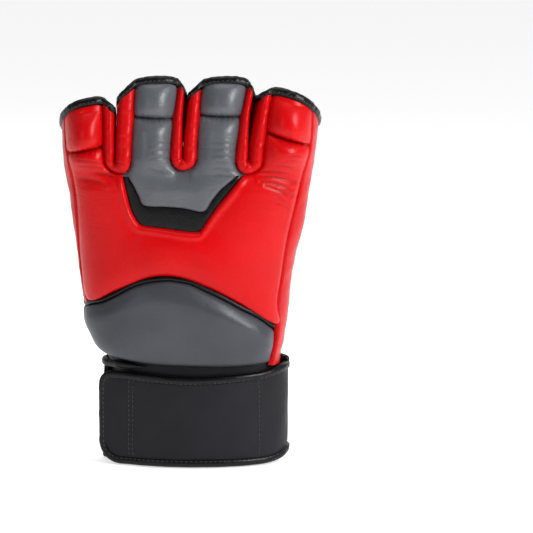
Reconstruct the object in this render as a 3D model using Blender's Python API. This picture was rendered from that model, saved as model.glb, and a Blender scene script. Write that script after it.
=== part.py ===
"""Open-finger grappling glove, left hand.

Frame: metres, +Z up towards the finger openings, the glove stands on the lower edge of its cuff.
The back of the hand faces -Y, the palm faces +Y, the thumb side is +X.
Lengths below are millimetres, scaled once when a mesh is made.
"""
import bpy, bmesh, math
from mathutils import Vector, geometry

for o in list(bpy.data.objects):
    bpy.data.objects.remove(o, do_unlink=True)

MM = 0.001

# ---------------------------------------------------------------- driving dimensions (mm)
SHIFT_X = 0.09           # puts the box centre on the origin
SHIFT_Y = -9.1
HINGE_Y, HINGE_Z = 4.0, 152.0     # common knuckle line of the four fingers
THUMB_AXIS = (43.0, 16.0)         # upright line along the thumb-side edge of the palm
STRAP_AXIS = (49.5, 0.0)          # upright line at the thumb-side fold of the strap
LEATHER = 1.4
GAP = 0.4
HAND_TOP = 152.4
FINGER_BASE = 154.4
CUFF_X, CUFF_A, CUFF_DORSAL, CUFF_PALM = 2.4, 48.3, 25.0, 23.0
STRAP_H = 49.6
CUFF_H = 56.5
ARMH = 54.2
HAND_N = 2.5
FINGER_N = 2.25

# side outlines of the hand: height, little-finger side x, thumb side x, depth of back, depth of palm
HAND = [
    (50, -43.5, 46.3, 25.0, 21.0),
    (57, -47.5, 47.0, 27.0, 21.5),
    (63, -50.2, 48.5, 28.5, 22.0),
    (73.5, -52.8, 50.2, 29.0, 22.0),
    (84, -55.6, 51.3, 29.0, 22.0),
    (99.5, -57.9, 53.0, 28.5, 21.5),
    (110, -58.9, 55.1, 28.0, 21.0),
    (120, -60.4, 57.9, 27.5, 20.5),
    (130.5, -61.7, 59.9, 27.0, 19.8),
    (141, -63.0, 61.5, 26.5, 18.8),
    (151, -64.8, 63.0, 26.0, 17.6),
    (161.5, -66.0, 64.8, 25.3, 16.6),
    (172, -66.3, 65.8, 24.4, 15.8),
    (180, -66.3, 66.3, 23.6, 15.2),
    (206, -66.3, 66.6, 21.0, 14.6),
]
SEAM_L = [(50, -44.0), (76, -51.6), (88, -53.8), (96, -56.2), (106, -57.4), (116.6, -58.2), (127, -58.6),
          (137, -59.0), (145, -59.9), (152.4, -60.9)]
SEAM_R = [(50, 41.8), (62, 44.1), (72.8, 45.5), (83, 45.2), (91, 45.8), (101, 47.7), (109, 48.7), (116.5, 49.9),
          (121.8, 51.3), (131, 52.9), (137.3, 54.8), (142.5, 56.3), (152.4, 58.4)]
ARCH = [(-60, 80.0), (-52.6, 86.2), (-45.6, 88.6), (-38, 92.8), (-30, 97.2), (-22, 99.8), (-11.5, 101), (-4.8, 100.2),
        (0.3, 99.2), (8, 95.6), (15.6, 91.9), (26, 86.0), (36, 80.3), (45.6, 73.0), (60, 64.0)]

FINGERS = ["little", "ring", "middle", "index"]
# boundaries between fingers, as distances from the knuckle line: (radius, x)
BOUND = [[(24, -38.2), (52, -37.0)], [(24, -3.8), (52, -0.2)], [(24, 29.4), (52, 36.7)]]
SLIT_HALF = 1.0
# rim plane of each finger: height at the middle of its back, rise per mm in x, fall per mm towards the palm
RIM = {"little": (192.5, 0.21, 0.46), "ring": (203.2, 0.07, 0.50), "middle": (203.2, 0.02, 0.50), "index": (196.5, -0.33, 0.48)}
# stitched crease of each finger pad: height at the middle, rise per mm in x
CREASE = {"little": (165.6, 0.20), "ring": (181.8, -0.06), "middle": (182.6, -0.05), "index": (171.0, -0.33)}
# pad edges as fractions of the half width: (left low, left high, right low, right high)
PAD = {"little": (-0.78, -0.86, 0.66, 0.53), "ring": (-0.55, -0.51, 0.64, 0.74),
       "middle": (-0.59, -0.64, 0.63, 0.68), "index": (-0.60, -0.58, 0.77, 0.77)}


def table(rows, x, k=1):
    """Smooth monotone reading of a table of (x, y...) rows."""
    if x <= rows[0][0]:
        return rows[0][k]
    if x >= rows[-1][0]:
        return rows[-1][k]
    i = 0
    while x > rows[i + 1][0]:
        i += 1
    def slope(j):
        if j == 0:
            return (rows[1][k] - rows[0][k]) / (rows[1][0] - rows[0][0])
        if j == len(rows) - 1:
            return (rows[j][k] - rows[j - 1][k]) / (rows[j][0] - rows[j - 1][0])
        return (rows[j + 1][k] - rows[j - 1][k]) / (rows[j + 1][0] - rows[j - 1][0])
    h = rows[i + 1][0] - rows[i][0]
    u = (x - rows[i][0]) / h
    return ((2 * u**3 - 3 * u**2 + 1) * rows[i][k] + (u**3 - 2 * u**2 + u) * h * slope(i)
            + (-2 * u**3 + 3 * u**2) * rows[i + 1][k] + (u**3 - u**2) * h * slope(i + 1))


def spow(v, p):
    return math.copysign(abs(v) ** p, v)


def smooth(a, b, x):
    u = min(1, max(0, (x - a) / (b - a)))
    return u * u * (3 - 2 * u)


def hand_dims(z):
    xl, xr = table(HAND, z, 1), table(HAND, z, 2)
    return (xl + xr) / 2, (xr - xl) / 2, table(HAND, z, 3), table(HAND, z, 4)


def hand_pt(t, z, d=0.0):
    """Point of the hand's outer surface at angle t (degrees, -90 the back, +90 the palm), sunk by d."""
    xc, a, bd, bp = hand_dims(z)
    c, s = math.cos(math.radians(t)), math.sin(math.radians(t))
    b = (bd if s < 0 else bp) - d
    return (xc + (a - d) * spow(c, 2 / HAND_N), b * spow(s, 2 / HAND_N), z)


def hand_t(x, z, side=-1):
    """Angle of the hand's surface at x: side -1 the back, +1 the palm."""
    xc, a, _, _ = hand_dims(z)
    c = max(-1, min(1, (x - xc) / a))
    return side * math.degrees(math.acos(spow(c, HAND_N / 2)))


def hand_xz(x, z, d=0.0, side=-1):
    return hand_pt(hand_t(x, z, side), z, d)


def cuff_pt(t, z, d=0.0):
    c, s = math.cos(math.radians(t)), math.sin(math.radians(t))
    b = (CUFF_DORSAL if s < 0 else CUFF_PALM) - d
    return (CUFF_X + (CUFF_A - d) * c, b * s, z)


def finger_pt(i, t, z, d=0.0):
    """Point of finger i's tube. Its flanks are surfaces of revolution about the knuckle line, so that
    neighbouring fingers bend apart without touching."""
    _, _, bd, bp = hand_dims(z)
    c, s = math.cos(math.radians(t)), math.sin(math.radians(t))
    yc = 5.0 * (max(0, z - HINGE_Z) / 50) ** 2
    y = yc + ((bd if s < 0 else bp) - d) * spow(s, 2 / FINGER_N)
    r = math.hypot(y - HINGE_Y, z - HINGE_Z)
    lo = table(HAND, z, 1) if i == 0 else lin(BOUND[i - 1], r) + SLIT_HALF
    hi = table(HAND, z, 2) if i == 3 else lin(BOUND[i], r) - SLIT_HALF
    return ((lo + hi) / 2 + ((hi - lo) / 2 - d) * spow(c, 2 / FINGER_N), y, z)


def lin(rows, x):
    (x0, y0), (x1, y1) = rows
    return y0 + (y1 - y0) * min(1.25, max(0, (x - x0) / (x1 - x0)))


def rim_z(i, t, drop=0.0):
    """Height of finger i's rim at angle t."""
    z0, kx, ky = RIM[FINGERS[i]]
    xm = finger_pt(i, -90, 190)[0]
    z = z0
    for _ in range(6):
        p = finger_pt(i, t, z)
        q = finger_pt(i, -90, z)
        z = z0 + kx * (p[0] - xm) - ky * (p[1] - q[1])
    return z - drop


def crease_z(i, t):
    z0, kx = CREASE[FINGERS[i]]
    xm = finger_pt(i, -90, 180)[0]
    return z0 + kx * (finger_pt(i, t, z0)[0] - xm)


def pad_t(i, which, z):
    lo = 0 if which == "left" else 2
    row = PAD[FINGERS[i]]
    u = min(1, max(0, (z - 155) / 40))
    c = row[lo] + (row[lo + 1] - row[lo]) * u
    return -math.degrees(math.acos(spow(c, FINGER_N / 2)))


# ---------------------------------------------------------------- mesh builders
COLOURS = {
    "red": ((0.56, 0.006, 0.010), 0.42), "grey": ((0.135, 0.145, 0.155), 0.42), "black": ((0.012, 0.013, 0.015), 0.45),
    "strap": ((0.022, 0.021, 0.026), 0.5), "mesh": ((0.010, 0.010, 0.012), 0.8), "foam": ((0.35, 0.35, 0.33), 0.9),
    "lining": ((0.03, 0.03, 0.032), 0.9), "hook": ((0.02, 0.02, 0.02), 0.7), "sheath": ((0.24, 0.26, 0.29), 0.45),
}
root = bpy.data.objects.new("glove", None)
bpy.context.scene.collection.objects.link(root)
pivots = {}


def pivot(name, x, y, z):
    e = bpy.data.objects.new(name, None)
    e.location = ((x + SHIFT_X) * MM, (y + SHIFT_Y) * MM, z * MM)
    bpy.context.scene.collection.objects.link(e)
    e.parent = root
    pivots[name] = e
    return e


for f in FINGERS:
    pivot(f + "_knuckle", 0, HINGE_Y, HINGE_Z)
pivot("thumb_root", THUMB_AXIS[0], THUMB_AXIS[1], 90)
pivot("strap_fold", STRAP_AXIS[0], STRAP_AXIS[1], 25)


def node(name, verts, faces, colour, parent=None):
    e = pivots[parent] if parent else root
    off = Vector(e.location) if parent else Vector((0, 0, 0))
    bm = bmesh.new()
    vs = [bm.verts.new(Vector(((v[0] + SHIFT_X) * MM, (v[1] + SHIFT_Y) * MM, v[2] * MM)) - off) for v in verts]
    for f in faces:
        bm.faces.new([vs[k] for k in f])
    bmesh.ops.triangulate(bm, faces=[f for f in bm.faces if len(f.verts) > 3])
    bmesh.ops.recalc_face_normals(bm, faces=bm.faces)
    me = bpy.data.meshes.new(name)
    bm.to_mesh(me)
    bm.free()
    me.shade_smooth()
    me.set_sharp_from_angle(angle=math.radians(50))
    ob = bpy.data.objects.new(name, me)
    bpy.context.scene.collection.objects.link(ob)
    ob.parent = e
    mat = bpy.data.materials.new(name)
    mat.use_nodes = True
    b = mat.node_tree.nodes["Principled BSDF"]
    rgb, rough = COLOURS[colour]
    b.inputs["Base Color"].default_value = (*rgb, 1)
    b.inputs["Roughness"].default_value = rough
    b.inputs["Metallic"].default_value = 0.0
    me.materials.append(mat)
    return ob


def shell(name, outer, inner, colour, parent=None, ring=False):
    """Closed wall between two grids of points [i][j]; ring closes the i direction."""
    nu, nv = len(outer), len(outer[0])
    verts = [p for row in outer for p in row] + [p for row in inner for p in row]
    n = nu * nv
    faces = []
    for i in range(nu if ring else nu - 1):
        k = (i + 1) % nu
        for j in range(nv - 1):
            a, b, c, d = i * nv + j, k * nv + j, k * nv + j + 1, i * nv + j + 1
            faces += [(a, b, c, d), (n + d, n + c, n + b, n + a)]
        a, b = i * nv, k * nv
        faces.append((b, a, n + a, n + b))
        a, b = i * nv + nv - 1, k * nv + nv - 1
        faces.append((a, b, n + b, n + a))
    if not ring:
        for j in range(nv - 1):
            a, b = j, j + 1
            faces.append((a, b, n + b, n + a))
            a, b = (nu - 1) * nv + j, (nu - 1) * nv + j + 1
            faces.append((b, a, n + a, n + b))
    return node(name, verts, faces, colour, parent)


def grid(f, us, vs):
    return [[f(u, v) for v in vs] for u in us]


def steps(a, b, n):
    return [a + (b - a) * k / n for k in range(n + 1)]


def hand_panel(name, ts, z_lo, z_hi, nv, d0, d1, colour, bulge=None):
    """Panel of the hand between two height curves (functions of the angle)."""
    def wall(extra):
        rows = []
        for t in ts:
            lo, hi = z_lo(t), z_hi(t)
            row = []
            for k in range(nv + 1):
                v = k / nv
                z = lo + (hi - lo) * v
                b = bulge(t, v) if bulge else 0.0
                row.append(hand_pt(t, z, extra - b))
            rows.append(row)
        return rows
    return shell(name, wall(d0), wall(d1), colour)


def flat_shell(name, outline, holes, spacing, f_out, f_in, colour, parent=None):
    """Thin wall over a flat outline with holes, mapped to space by two functions."""
    pts, edges = [], []
    for loop in [outline] + holes:
        s = len(pts)
        pts += loop
        edges += [(s + k, s + (k + 1) % len(loop)) for k in range(len(loop))]
    def inside(p, loop):
        c = False
        for k in range(len(loop)):
            (x0, y0), (x1, y1) = loop[k], loop[k - 1]
            if (y0 > p[1]) != (y1 > p[1]) and p[0] < (x1 - x0) * (p[1] - y0) / (y1 - y0) + x0:
                c = not c
        return c
    xs, ys = [p[0] for p in outline], [p[1] for p in outline]
    nx = max(1, round((max(xs) - min(xs)) / spacing[0]))
    ny = max(1, round((max(ys) - min(ys)) / spacing[1]))
    rim = list(pts)
    for a in range(1, nx):
        for b in range(1, ny):
            p = (min(xs) + (max(xs) - min(xs)) * a / nx, min(ys) + (max(ys) - min(ys)) * b / ny)
            if inside(p, outline) and not any(inside(p, h) for h in holes) \
                    and min(math.hypot((p[0] - q[0]), (p[1] - q[1])) for q in rim) > 0.45 * min(spacing):
                pts.append(p)
    vo, _, tris, _, _, _ = geometry.delaunay_2d_cdt([Vector(p) for p in pts], edges, [], 0, 1e-5)
    vo = [(v[0], v[1]) for v in vo]
    tris = [t for t in tris if inside([sum(vo[k][m] for k in t) / 3 for m in (0, 1)], outline)
            and not any(inside([sum(vo[k][m] for k in t) / 3 for m in (0, 1)], h) for h in holes)]
    used = sorted({k for t in tris for k in t})
    idx = {k: n for n, k in enumerate(used)}
    vo = [vo[k] for k in used]
    tris = [tuple(idx[k] for k in t) for t in tris]
    n = len(vo)
    count = {}
    for t in tris:
        for k in range(3):
            e = (t[k], t[(k + 1) % 3])
            count[e] = count.get(e, 0) + 1
    faces = [t for t in tris] + [tuple(n + k for k in reversed(t)) for t in tris]
    faces += [(b, a, n + a, n + b) for (a, b) in count if (b, a) not in count]
    return node(name, [f_out(*p) for p in vo] + [f_in(*p) for p in vo], faces, colour, parent)


def strip_shell(name, left, right, sub, nv, m, d0, d1, colour):
    """Panel of the hand's back between two outlines given point by point as (x, z); m trims the long edges."""
    def fine(pts):
        rows = [(k, p[0], p[1]) for k, p in enumerate(pts)]
        n = (len(pts) - 1) * sub
        return [(table(rows, k / sub, 1), table(rows, k / sub, 2)) for k in range(n + 1)]
    L, R = fine(left), fine(right)
    def wall(d):
        rows = []
        for a, b in zip(L, R):
            w = math.hypot(b[0] - a[0], b[1] - a[1])
            e = m / w
            rows.append([hand_xz(a[0] + (b[0] - a[0]) * u, a[1] + (b[1] - a[1]) * u, d)
                         for u in steps(e, 1 - e, nv)])
        return rows
    return shell(name, wall(d0), wall(d1), colour)


# ---------------------------------------------------------------- back of the hand
VEE_IN = [(-30.9, 152.4), (-30.0, 150.0), (-28.8, 147.9), (-26.2, 142.6), (-23.2, 137.5), (-13.0, 136.8), (-3.0, 136.0), (6.9, 134.4),
          (11.3, 140.0), (15.6, 145.3), (19.5, 148.6), (24.0, 152.4)]
VEE_OUT = [(-33.5, 152.4), (-33.0, 147.5), (-31.6, 141.0), (-29.4, 133.9), (-24.7, 127.4), (-16.0, 126.1), (-7.0, 124.9), (4.0, 124.1),
           (8.6, 129.5), (13.4, 136.2), (19.6, 143.8), (26.9, 152.4)]
BACK_IN = [(-33.5, 152.4), (-32.2, 144.0), (-30.4, 136.5), (-28.0, 131.0), (-24.7, 127.4), (-18.0, 126.4), (-10.0, 125.4),
           (-3.0, 124.4), (4.0, 124.1), (6.4, 126.2), (9.5, 130.8), (11.5, 133.6), (13.4, 136.2), (17.5, 141.2), (22.0, 146.6), (26.9, 152.4)]
BACK_OUT = [(-60.9, 152.4), (table(SEAM_L, 138), 138), (table(SEAM_L, 121), 121), (table(SEAM_L, 104), 104), (-52.9, 86.0),
            (-38.0, 92.8), (-22.0, 99.8), (-8.0, 100.8), (8.0, 95.6), (26.0, 86.0), (45.2, 73.6),
            (table(SEAM_R, 85), 85), (table(SEAM_R, 99), 99), (table(SEAM_R, 117), 117), (table(SEAM_R, 136), 136), (58.4, 152.4)]

strip_shell("hand_back_panel", BACK_IN, BACK_OUT, 2, 4, 0.25, 0.0, LEATHER, "red")
strip_shell("vee_inlay", VEE_IN, VEE_OUT, 2, 2, 0.25, 0.5, LEATHER + 0.3, "black")
top = [(-30.9 + 54.9 * k / 11, 152.4) for k in range(12)]
strip_shell("knuckle_centre_panel", [(a[0] + (top[k][0] - a[0]) * 0.02, a[1] - 0.02) for k, a in enumerate(VEE_IN)][1:-1],
            [(t[0], 152.4) for t in top][1:-1], 1, 3, 0.3, -0.4, LEATHER - 0.4, "grey")

BACK_TS = [hand_t(x, 120) for x in (-53, -48, -42, -32, -20, -8, 4, 16, 26, 36, 43, 48)]


def arch_at(t, extra):
    z = 95.0
    for _ in range(8):
        z = table(ARCH, hand_pt(t, z)[0])
    return z + extra


hand_panel("backhand_foam", BACK_TS, lambda t: arch_at(t, 1.2), lambda t: 151.6, 4, 2.6, 8.8, "foam")
LINING_TS = [-164, -150, -135, -118, -100, -82, -64, -46, -31, -17]
hand_panel("hand_lining", LINING_TS, lambda t: 65.5, lambda t: 151.0, 4, 9.6, 10.8, "lining")

# black piping in the groove between the back panel and the wrist pad
PIPE_TS = [hand_t(x, 92) for x in (-52, -46, -38, -30, -22, -14, -6, 2, 10, 18, 26, 34, 40, 44)]
hand_panel("wrist_pad_piping", PIPE_TS, lambda t: arch_at(t, -2.6), lambda t: arch_at(t, -1.2), 1, 0.2, 2.2, "black")

# arched wrist pad: lower and upper edge as functions of the fraction c of the half width
PAD_LO = [(-1.0, 67.0), (-0.985, 63.5), (-0.95, 60.8), (-0.88, 58.8), (-0.7, 57.4), (-0.4, 56.2), (0, 55.4), (0.4, 54.9), (0.7, 55.0), (0.92, 55.4)]


def pad_c(t):
    return spow(math.cos(math.radians(t)), 2 / HAND_N)


def wrist_lo(t, e=0.0):
    return table(PAD_LO, pad_c(t)) + e


def wrist_hi(t, e=0.0):
    if t < -172:
        return 80.5 - 0.3 * (-172 - t) - e
    return min(arch_at(t, -2.9), 84.0 if t < -160 else 200) - e


WT = [-177, -171, -163, -152, -139, -125, -111, -97, -83, -69, -56, -44, -35.0, -29.8]


def wrist_bulge(t, v):
    u = min(1.0, (t + 179) / 25) * min(1.0, (-27 - t) / 20)
    return 3.6 * max(0, u) ** 0.5 * (max(0.0, 4 * v * (1 - v))) ** 0.5


hand_panel("wrist_pad_cover", WT, wrist_lo, wrist_hi, 5, 0.0, LEATHER, "grey", wrist_bulge)
hand_panel("wrist_pad_foam", WT[2:-1], lambda t: wrist_lo(t, 1.6), lambda t: wrist_hi(t, 1.4), 5, 2.6, 6.4, "foam",
           lambda t, v: 0.8 * wrist_bulge(t, 0.1 + 0.8 * v) * 0.9)

# ---------------------------------------------------------------- side walls and palm
def side_ts(x_seam, z):
    return hand_t(x_seam, z)


def gusset(name, seam, palm_t, z_lo, z_hi, nv, left):
    def wall(d):
        rows = []
        for k in range(6):
            row = []
            for z in steps(z_lo, z_hi, nv):
                t0 = hand_t(table(seam, z) + (-0.5 if left else 1.0), z)
                if left:
                    t0 -= 360 * 0
                    a = t0 + (-(360 - palm_t) - t0) * k / 5
                else:
                    a = t0 + (palm_t - t0) * k / 5
                row.append(hand_pt(a, z, d))
            rows.append(row)
        return rows
    return shell(name, wall(0.0), wall(1.5), "red")


LEFT_EDGE, RIGHT_EDGE = 168.0, 13.0
gusset("little_side_gusset", SEAM_L, LEFT_EDGE, 87.0, HAND_TOP, 6, True)
gusset("thumb_side_gusset", SEAM_R, RIGHT_EDGE, 57.0, HAND_TOP, 8, False)

# thumb opening: foot of the sheath on the palm (x, z) and its rim ellipse, one pair per 22.5 degrees
FOOT = [(40.5, 98), (36, 111), (28, 121.5), (19, 125.0), (9.5, 124.0), (2, 121.0), (-3, 115.0), (-6.2, 107.5),
        (-7.0, 99), (-5.8, 91), (-2.6, 84), (5, 74), (14.5, 65), (23.5, 60.0), (32, 64), (39, 77)]
FOOT_ANGLE = [22.5 * k for k in range(16)]
RIM_C, RIM_A, RIM_B, RIM_TILT = (7.4, 99.0), 12.9, 20.5, 23.0


def foot(phi):
    u = (phi % 360) / 22.5
    k = int(u) % 16
    f = u - int(u)
    p = [FOOT[(k + m - 1) % 16] for m in range(4)]
    out = []
    for m in (0, 1):
        a, b, c, d = (q[m] for q in p)
        out.append(0.5 * (2 * b + (c - a) * f + (2 * a - 5 * b + 4 * c - d) * f * f + (3 * b - a - 3 * c + d) * f**3))
    return out


def palm_y(x, z, d=0.0):
    return hand_xz(x, z, d, 1)[1]


def thumb_pt(phi, s):
    """Sheath surface: s 0 at the foot on the palm, 1 at the rim."""
    fx, fz = foot(phi)
    c, sn = math.cos(math.radians(phi)), math.sin(math.radians(phi))
    rx, rz = RIM_C[0] + RIM_A * c, RIM_C[1] + RIM_B * sn
    ry = 24.6 + RIM_TILT * (0.5 + 0.5 * c)
    fy = palm_y(fx, fz) + 0.7
    mx, mz = fx * 0.72 + rx * 0.28, fz * 0.72 + rz * 0.28
    my = fy + (ry - fy) * 0.92
    q = []
    for a, m, b in ((fx, mx, rx), (fy, my, ry), (fz, mz, rz)):
        q.append((1 - s) ** 2 * a + 2 * s * (1 - s) * m + s * s * b)
    return q


def thumb_in(phi, s, d):
    p = Vector(thumb_pt(phi, s))
    e = 0.02
    du = Vector(thumb_pt(phi + 2, s)) - Vector(thumb_pt(phi - 2, s))
    dv = Vector(thumb_pt(phi, min(1, s + e))) - Vector(thumb_pt(phi, max(0, s - e)))
    n = du.cross(dv)
    n.normalize()
    return p + n * d


PHIS = [360 * k / 20 for k in range(20)]
SS = [0.0, 0.3, 0.65, 1.0]


def keep_on_palm(p, s):
    if s == 0.0:
        p = Vector((p[0], palm_y(p[0], p[2]) + 0.7, p[2]))
    return p


shell("thumb_sheath", grid(lambda p, s: tuple(thumb_pt(p, s)), PHIS, SS),
      grid(lambda p, s: tuple(keep_on_palm(thumb_in(p, s, 2.0), s)), PHIS, SS), "sheath", "thumb_root", ring=True)


def thumb_rim(phi, a, b):
    """Point of the rim binding: a along the sheath beyond its end, b outwards."""
    p = Vector(thumb_pt(phi, 1.0))
    du = Vector(thumb_pt(phi + 2, 1.0)) - Vector(thumb_pt(phi - 2, 1.0))
    n = Vector((-RIM_TILT / (2 * RIM_A), 1.0, 0)).normalized()
    du.normalize()
    out = du.cross(n)
    if out.dot(p - Vector((RIM_C[0], p[1], RIM_C[1]))) < 0:
        out = -out
    return tuple(p + n * a + out * b)


shell("thumb_binding", grid(lambda p, s: thumb_rim(p, s, 0.9), PHIS, [0.4, 3.2]),
      grid(lambda p, s: thumb_rim(p, s, -2.2), PHIS, [0.4, 3.2]), "black", "thumb_root", ring=True)

# palm panel, with the opening under the sheath
CX, CZ = 15.0, 93.0
hole = []
for k in range(16):
    fx, fz = foot(22.5 * k)
    x, z = CX + (fx - CX) * 0.76, CZ + (fz - CZ) * 0.78
    hole.append((hand_t(x, z, 1) * 0.8, z))
lo_t, hi_t = (RIGHT_EDGE + 1.2) * 0.8, (LEFT_EDGE - 0.8) * 0.8
PT = steps(lo_t, hi_t, 14)
outline = [(t, 57.0) for t in PT] + [(hi_t, z) for z in (72, 90, 108, 127)] + [(t, 146.2) for t in reversed(PT)] \
    + [(lo_t, z) for z in (127, 108, 90, 72)]
flat_shell("palm_panel", outline, [hole], (11.0, 13.0), lambda s, z: hand_pt(s / 0.8, z, 0.0),
           lambda s, z: hand_pt(s / 0.8, z, 1.6), "mesh")

# grip bar: leather patch on the palm, rolled cover and foam core
BAR_Z, BAR_RZ, BAR_RY = 137.0, 7.6, 6.0
hand_panel("grip_bar_patch", steps(152, 24, 14), lambda t: 127.6, lambda t: 145.8, 2, -1.9, -0.7, "black")


def bar_pt(x, ang, k):
    y = palm_y(x, BAR_Z, -2.4) + BAR_RY * 1.08
    return (x, y + (BAR_RY - k) * math.cos(math.radians(ang)), BAR_Z + (BAR_RZ - k) * math.sin(math.radians(ang)))


BAR_X = [-44, -36, -24, -10, 4, 18, 30, 41]
shell("grip_bar_cover", grid(lambda a, x: bar_pt(x, a, 0.0), steps(0, 330, 11), BAR_X),
      grid(lambda a, x: bar_pt(x, a, 1.2), steps(0, 330, 11), BAR_X), "black", ring=True)
core_v, core_f = [], []
for x in BAR_X:
    core_v += [bar_pt(x, a, 1.9) for a in steps(0, 330, 11)]
for k in range(len(BAR_X) - 1):
    for m in range(12):
        core_f.append((k * 12 + m, k * 12 + (m + 1) % 12, (k + 1) * 12 + (m + 1) % 12, (k + 1) * 12 + m))
core_f += [tuple(range(12)), tuple(len(core_v) - 12 + m for m in range(12))]
node("grip_bar_core", core_v, core_f, "foam")

# ---------------------------------------------------------------- cuff and strap
CT = steps(0, 352.5, 47)
ring_t = CT[::2]
shell("cuff_band", grid(lambda t, z: cuff_pt(t, z, 4.6), ring_t, [0.0, 20.0, 42.0, CUFF_H]),
      grid(lambda t, z: cuff_pt(t, z, 7.8), ring_t, [0.0, 20.0, 42.0, CUFF_H]), "strap", ring=True)
loop_t = steps(-150, -30, 8)
shell("cuff_loop_patch", grid(lambda t, z: cuff_pt(t, z, 3.3), loop_t, [6, 25, 44]),
      grid(lambda t, z: cuff_pt(t, z, 4.2), loop_t, [6, 25, 44]), "hook")
base_t = steps(6, 186, 12)
shell("strap_base", grid(lambda t, z: cuff_pt(t, z, 0.3), base_t, [4.2, 27, 50.0]),
      grid(lambda t, z: cuff_pt(t, z, 2.2), base_t, [4.2, 27, 50.0]), "strap")
shell("strap_base_top_binding", grid(lambda t, z: cuff_pt(t, z, -0.6), base_t, [50.4, ARMH]),
      grid(lambda t, z: cuff_pt(t, z, 2.8), base_t, [50.4, ARMH]), "black")
shell("strap_base_bottom_binding", grid(lambda t, z: cuff_pt(t, z, -0.6), base_t, [0.2, 3.8]),
      grid(lambda t, z: cuff_pt(t, z, 2.8), base_t, [0.2, 3.8]), "black")

# flap: rounded tab over the back of the wrist, from the thumb-side fold to the little side
FLAP_T0, FLAP_T1, BIND = -9.0, -171.0, 4.2


def flap_top(t):
    return STRAP_H + 2.6 * smooth(-50, -12, t)


def flap_outline(inset):
    """Outline in (angle, height): square at the fold, rounded at the tab."""
    t0, t1 = FLAP_T0 - inset * 2.4, FLAP_T1 + inset * 2.1
    lo = 0.3 + inset
    pts = [(t0, lo)] + [(t, lo) for t in steps(t0 - 10, -152, 10)]
    for k in range(1, 4):
        a = math.radians(90 * k / 4)
        pts.append((-152 + (t1 + 152) * math.sin(a), lo + (9 - inset * 0.5) * (1 - math.cos(a))))
    pts.append((t1, lo + 9 - inset * 0.5))
    pts.append((t1, 25))
    hi = STRAP_H - inset
    pts.append((t1, hi - 6))
    for k in range(1, 3):
        a = math.radians(90 * k / 3)
        pts.append((t1 + (-158 - t1) * (1 - math.cos(a)), hi - 6 + 6 * math.sin(a)))
    pts += [(t, flap_top(t) - inset) for t in steps(-152, t0 - 10, 10)] + [(t0, flap_top(t0) - inset), (t0, 25)]
    return pts


def scaled(loop):
    return [(t * 0.8, z) for t, z in loop]


flat_shell("strap_flap", scaled(flap_outline(BIND + 0.35)), [], (9.6, 14.0), lambda s, z: cuff_pt(s / 0.8, z, 0.0),
           lambda s, z: cuff_pt(s / 0.8, z, 1.8), "strap", "strap_fold")
flat_shell("strap_binding", scaled(flap_outline(0.0)), [scaled(flap_outline(BIND))], (200.0, 200.0),
           lambda s, z: cuff_pt(s / 0.8, z, -0.6), lambda s, z: cuff_pt(s / 0.8, z, 2.6), "black", "strap_fold")
shell("strap_hook_patch", grid(lambda t, z: cuff_pt(t, z, 2.1), steps(-142.5, -45, 8), [7, 25, 43]),
      grid(lambda t, z: cuff_pt(t, z, 3.0), steps(-142.5, -45, 8), [7, 25, 43]), "hook", "strap_fold")

# ---------------------------------------------------------------- fingers
def ring_depth(t, v):
    """How far the mesh tube lies under the outer surface: 0 on the palm, deep under the back pad."""
    s = math.sin(math.radians(t))
    side = 2.2 * (1 - smooth(0.30, 0.62, s))
    back = 6.2 * smooth(0.45, 0.85, -s) * (1 - 0.72 * smooth(0.62, 1.0, v))
    return side + back


def wall_levels(i, t, drop, nv, lo=FINGER_BASE + 0.8):
    return steps(lo, rim_z(i, t, drop), nv)


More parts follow.
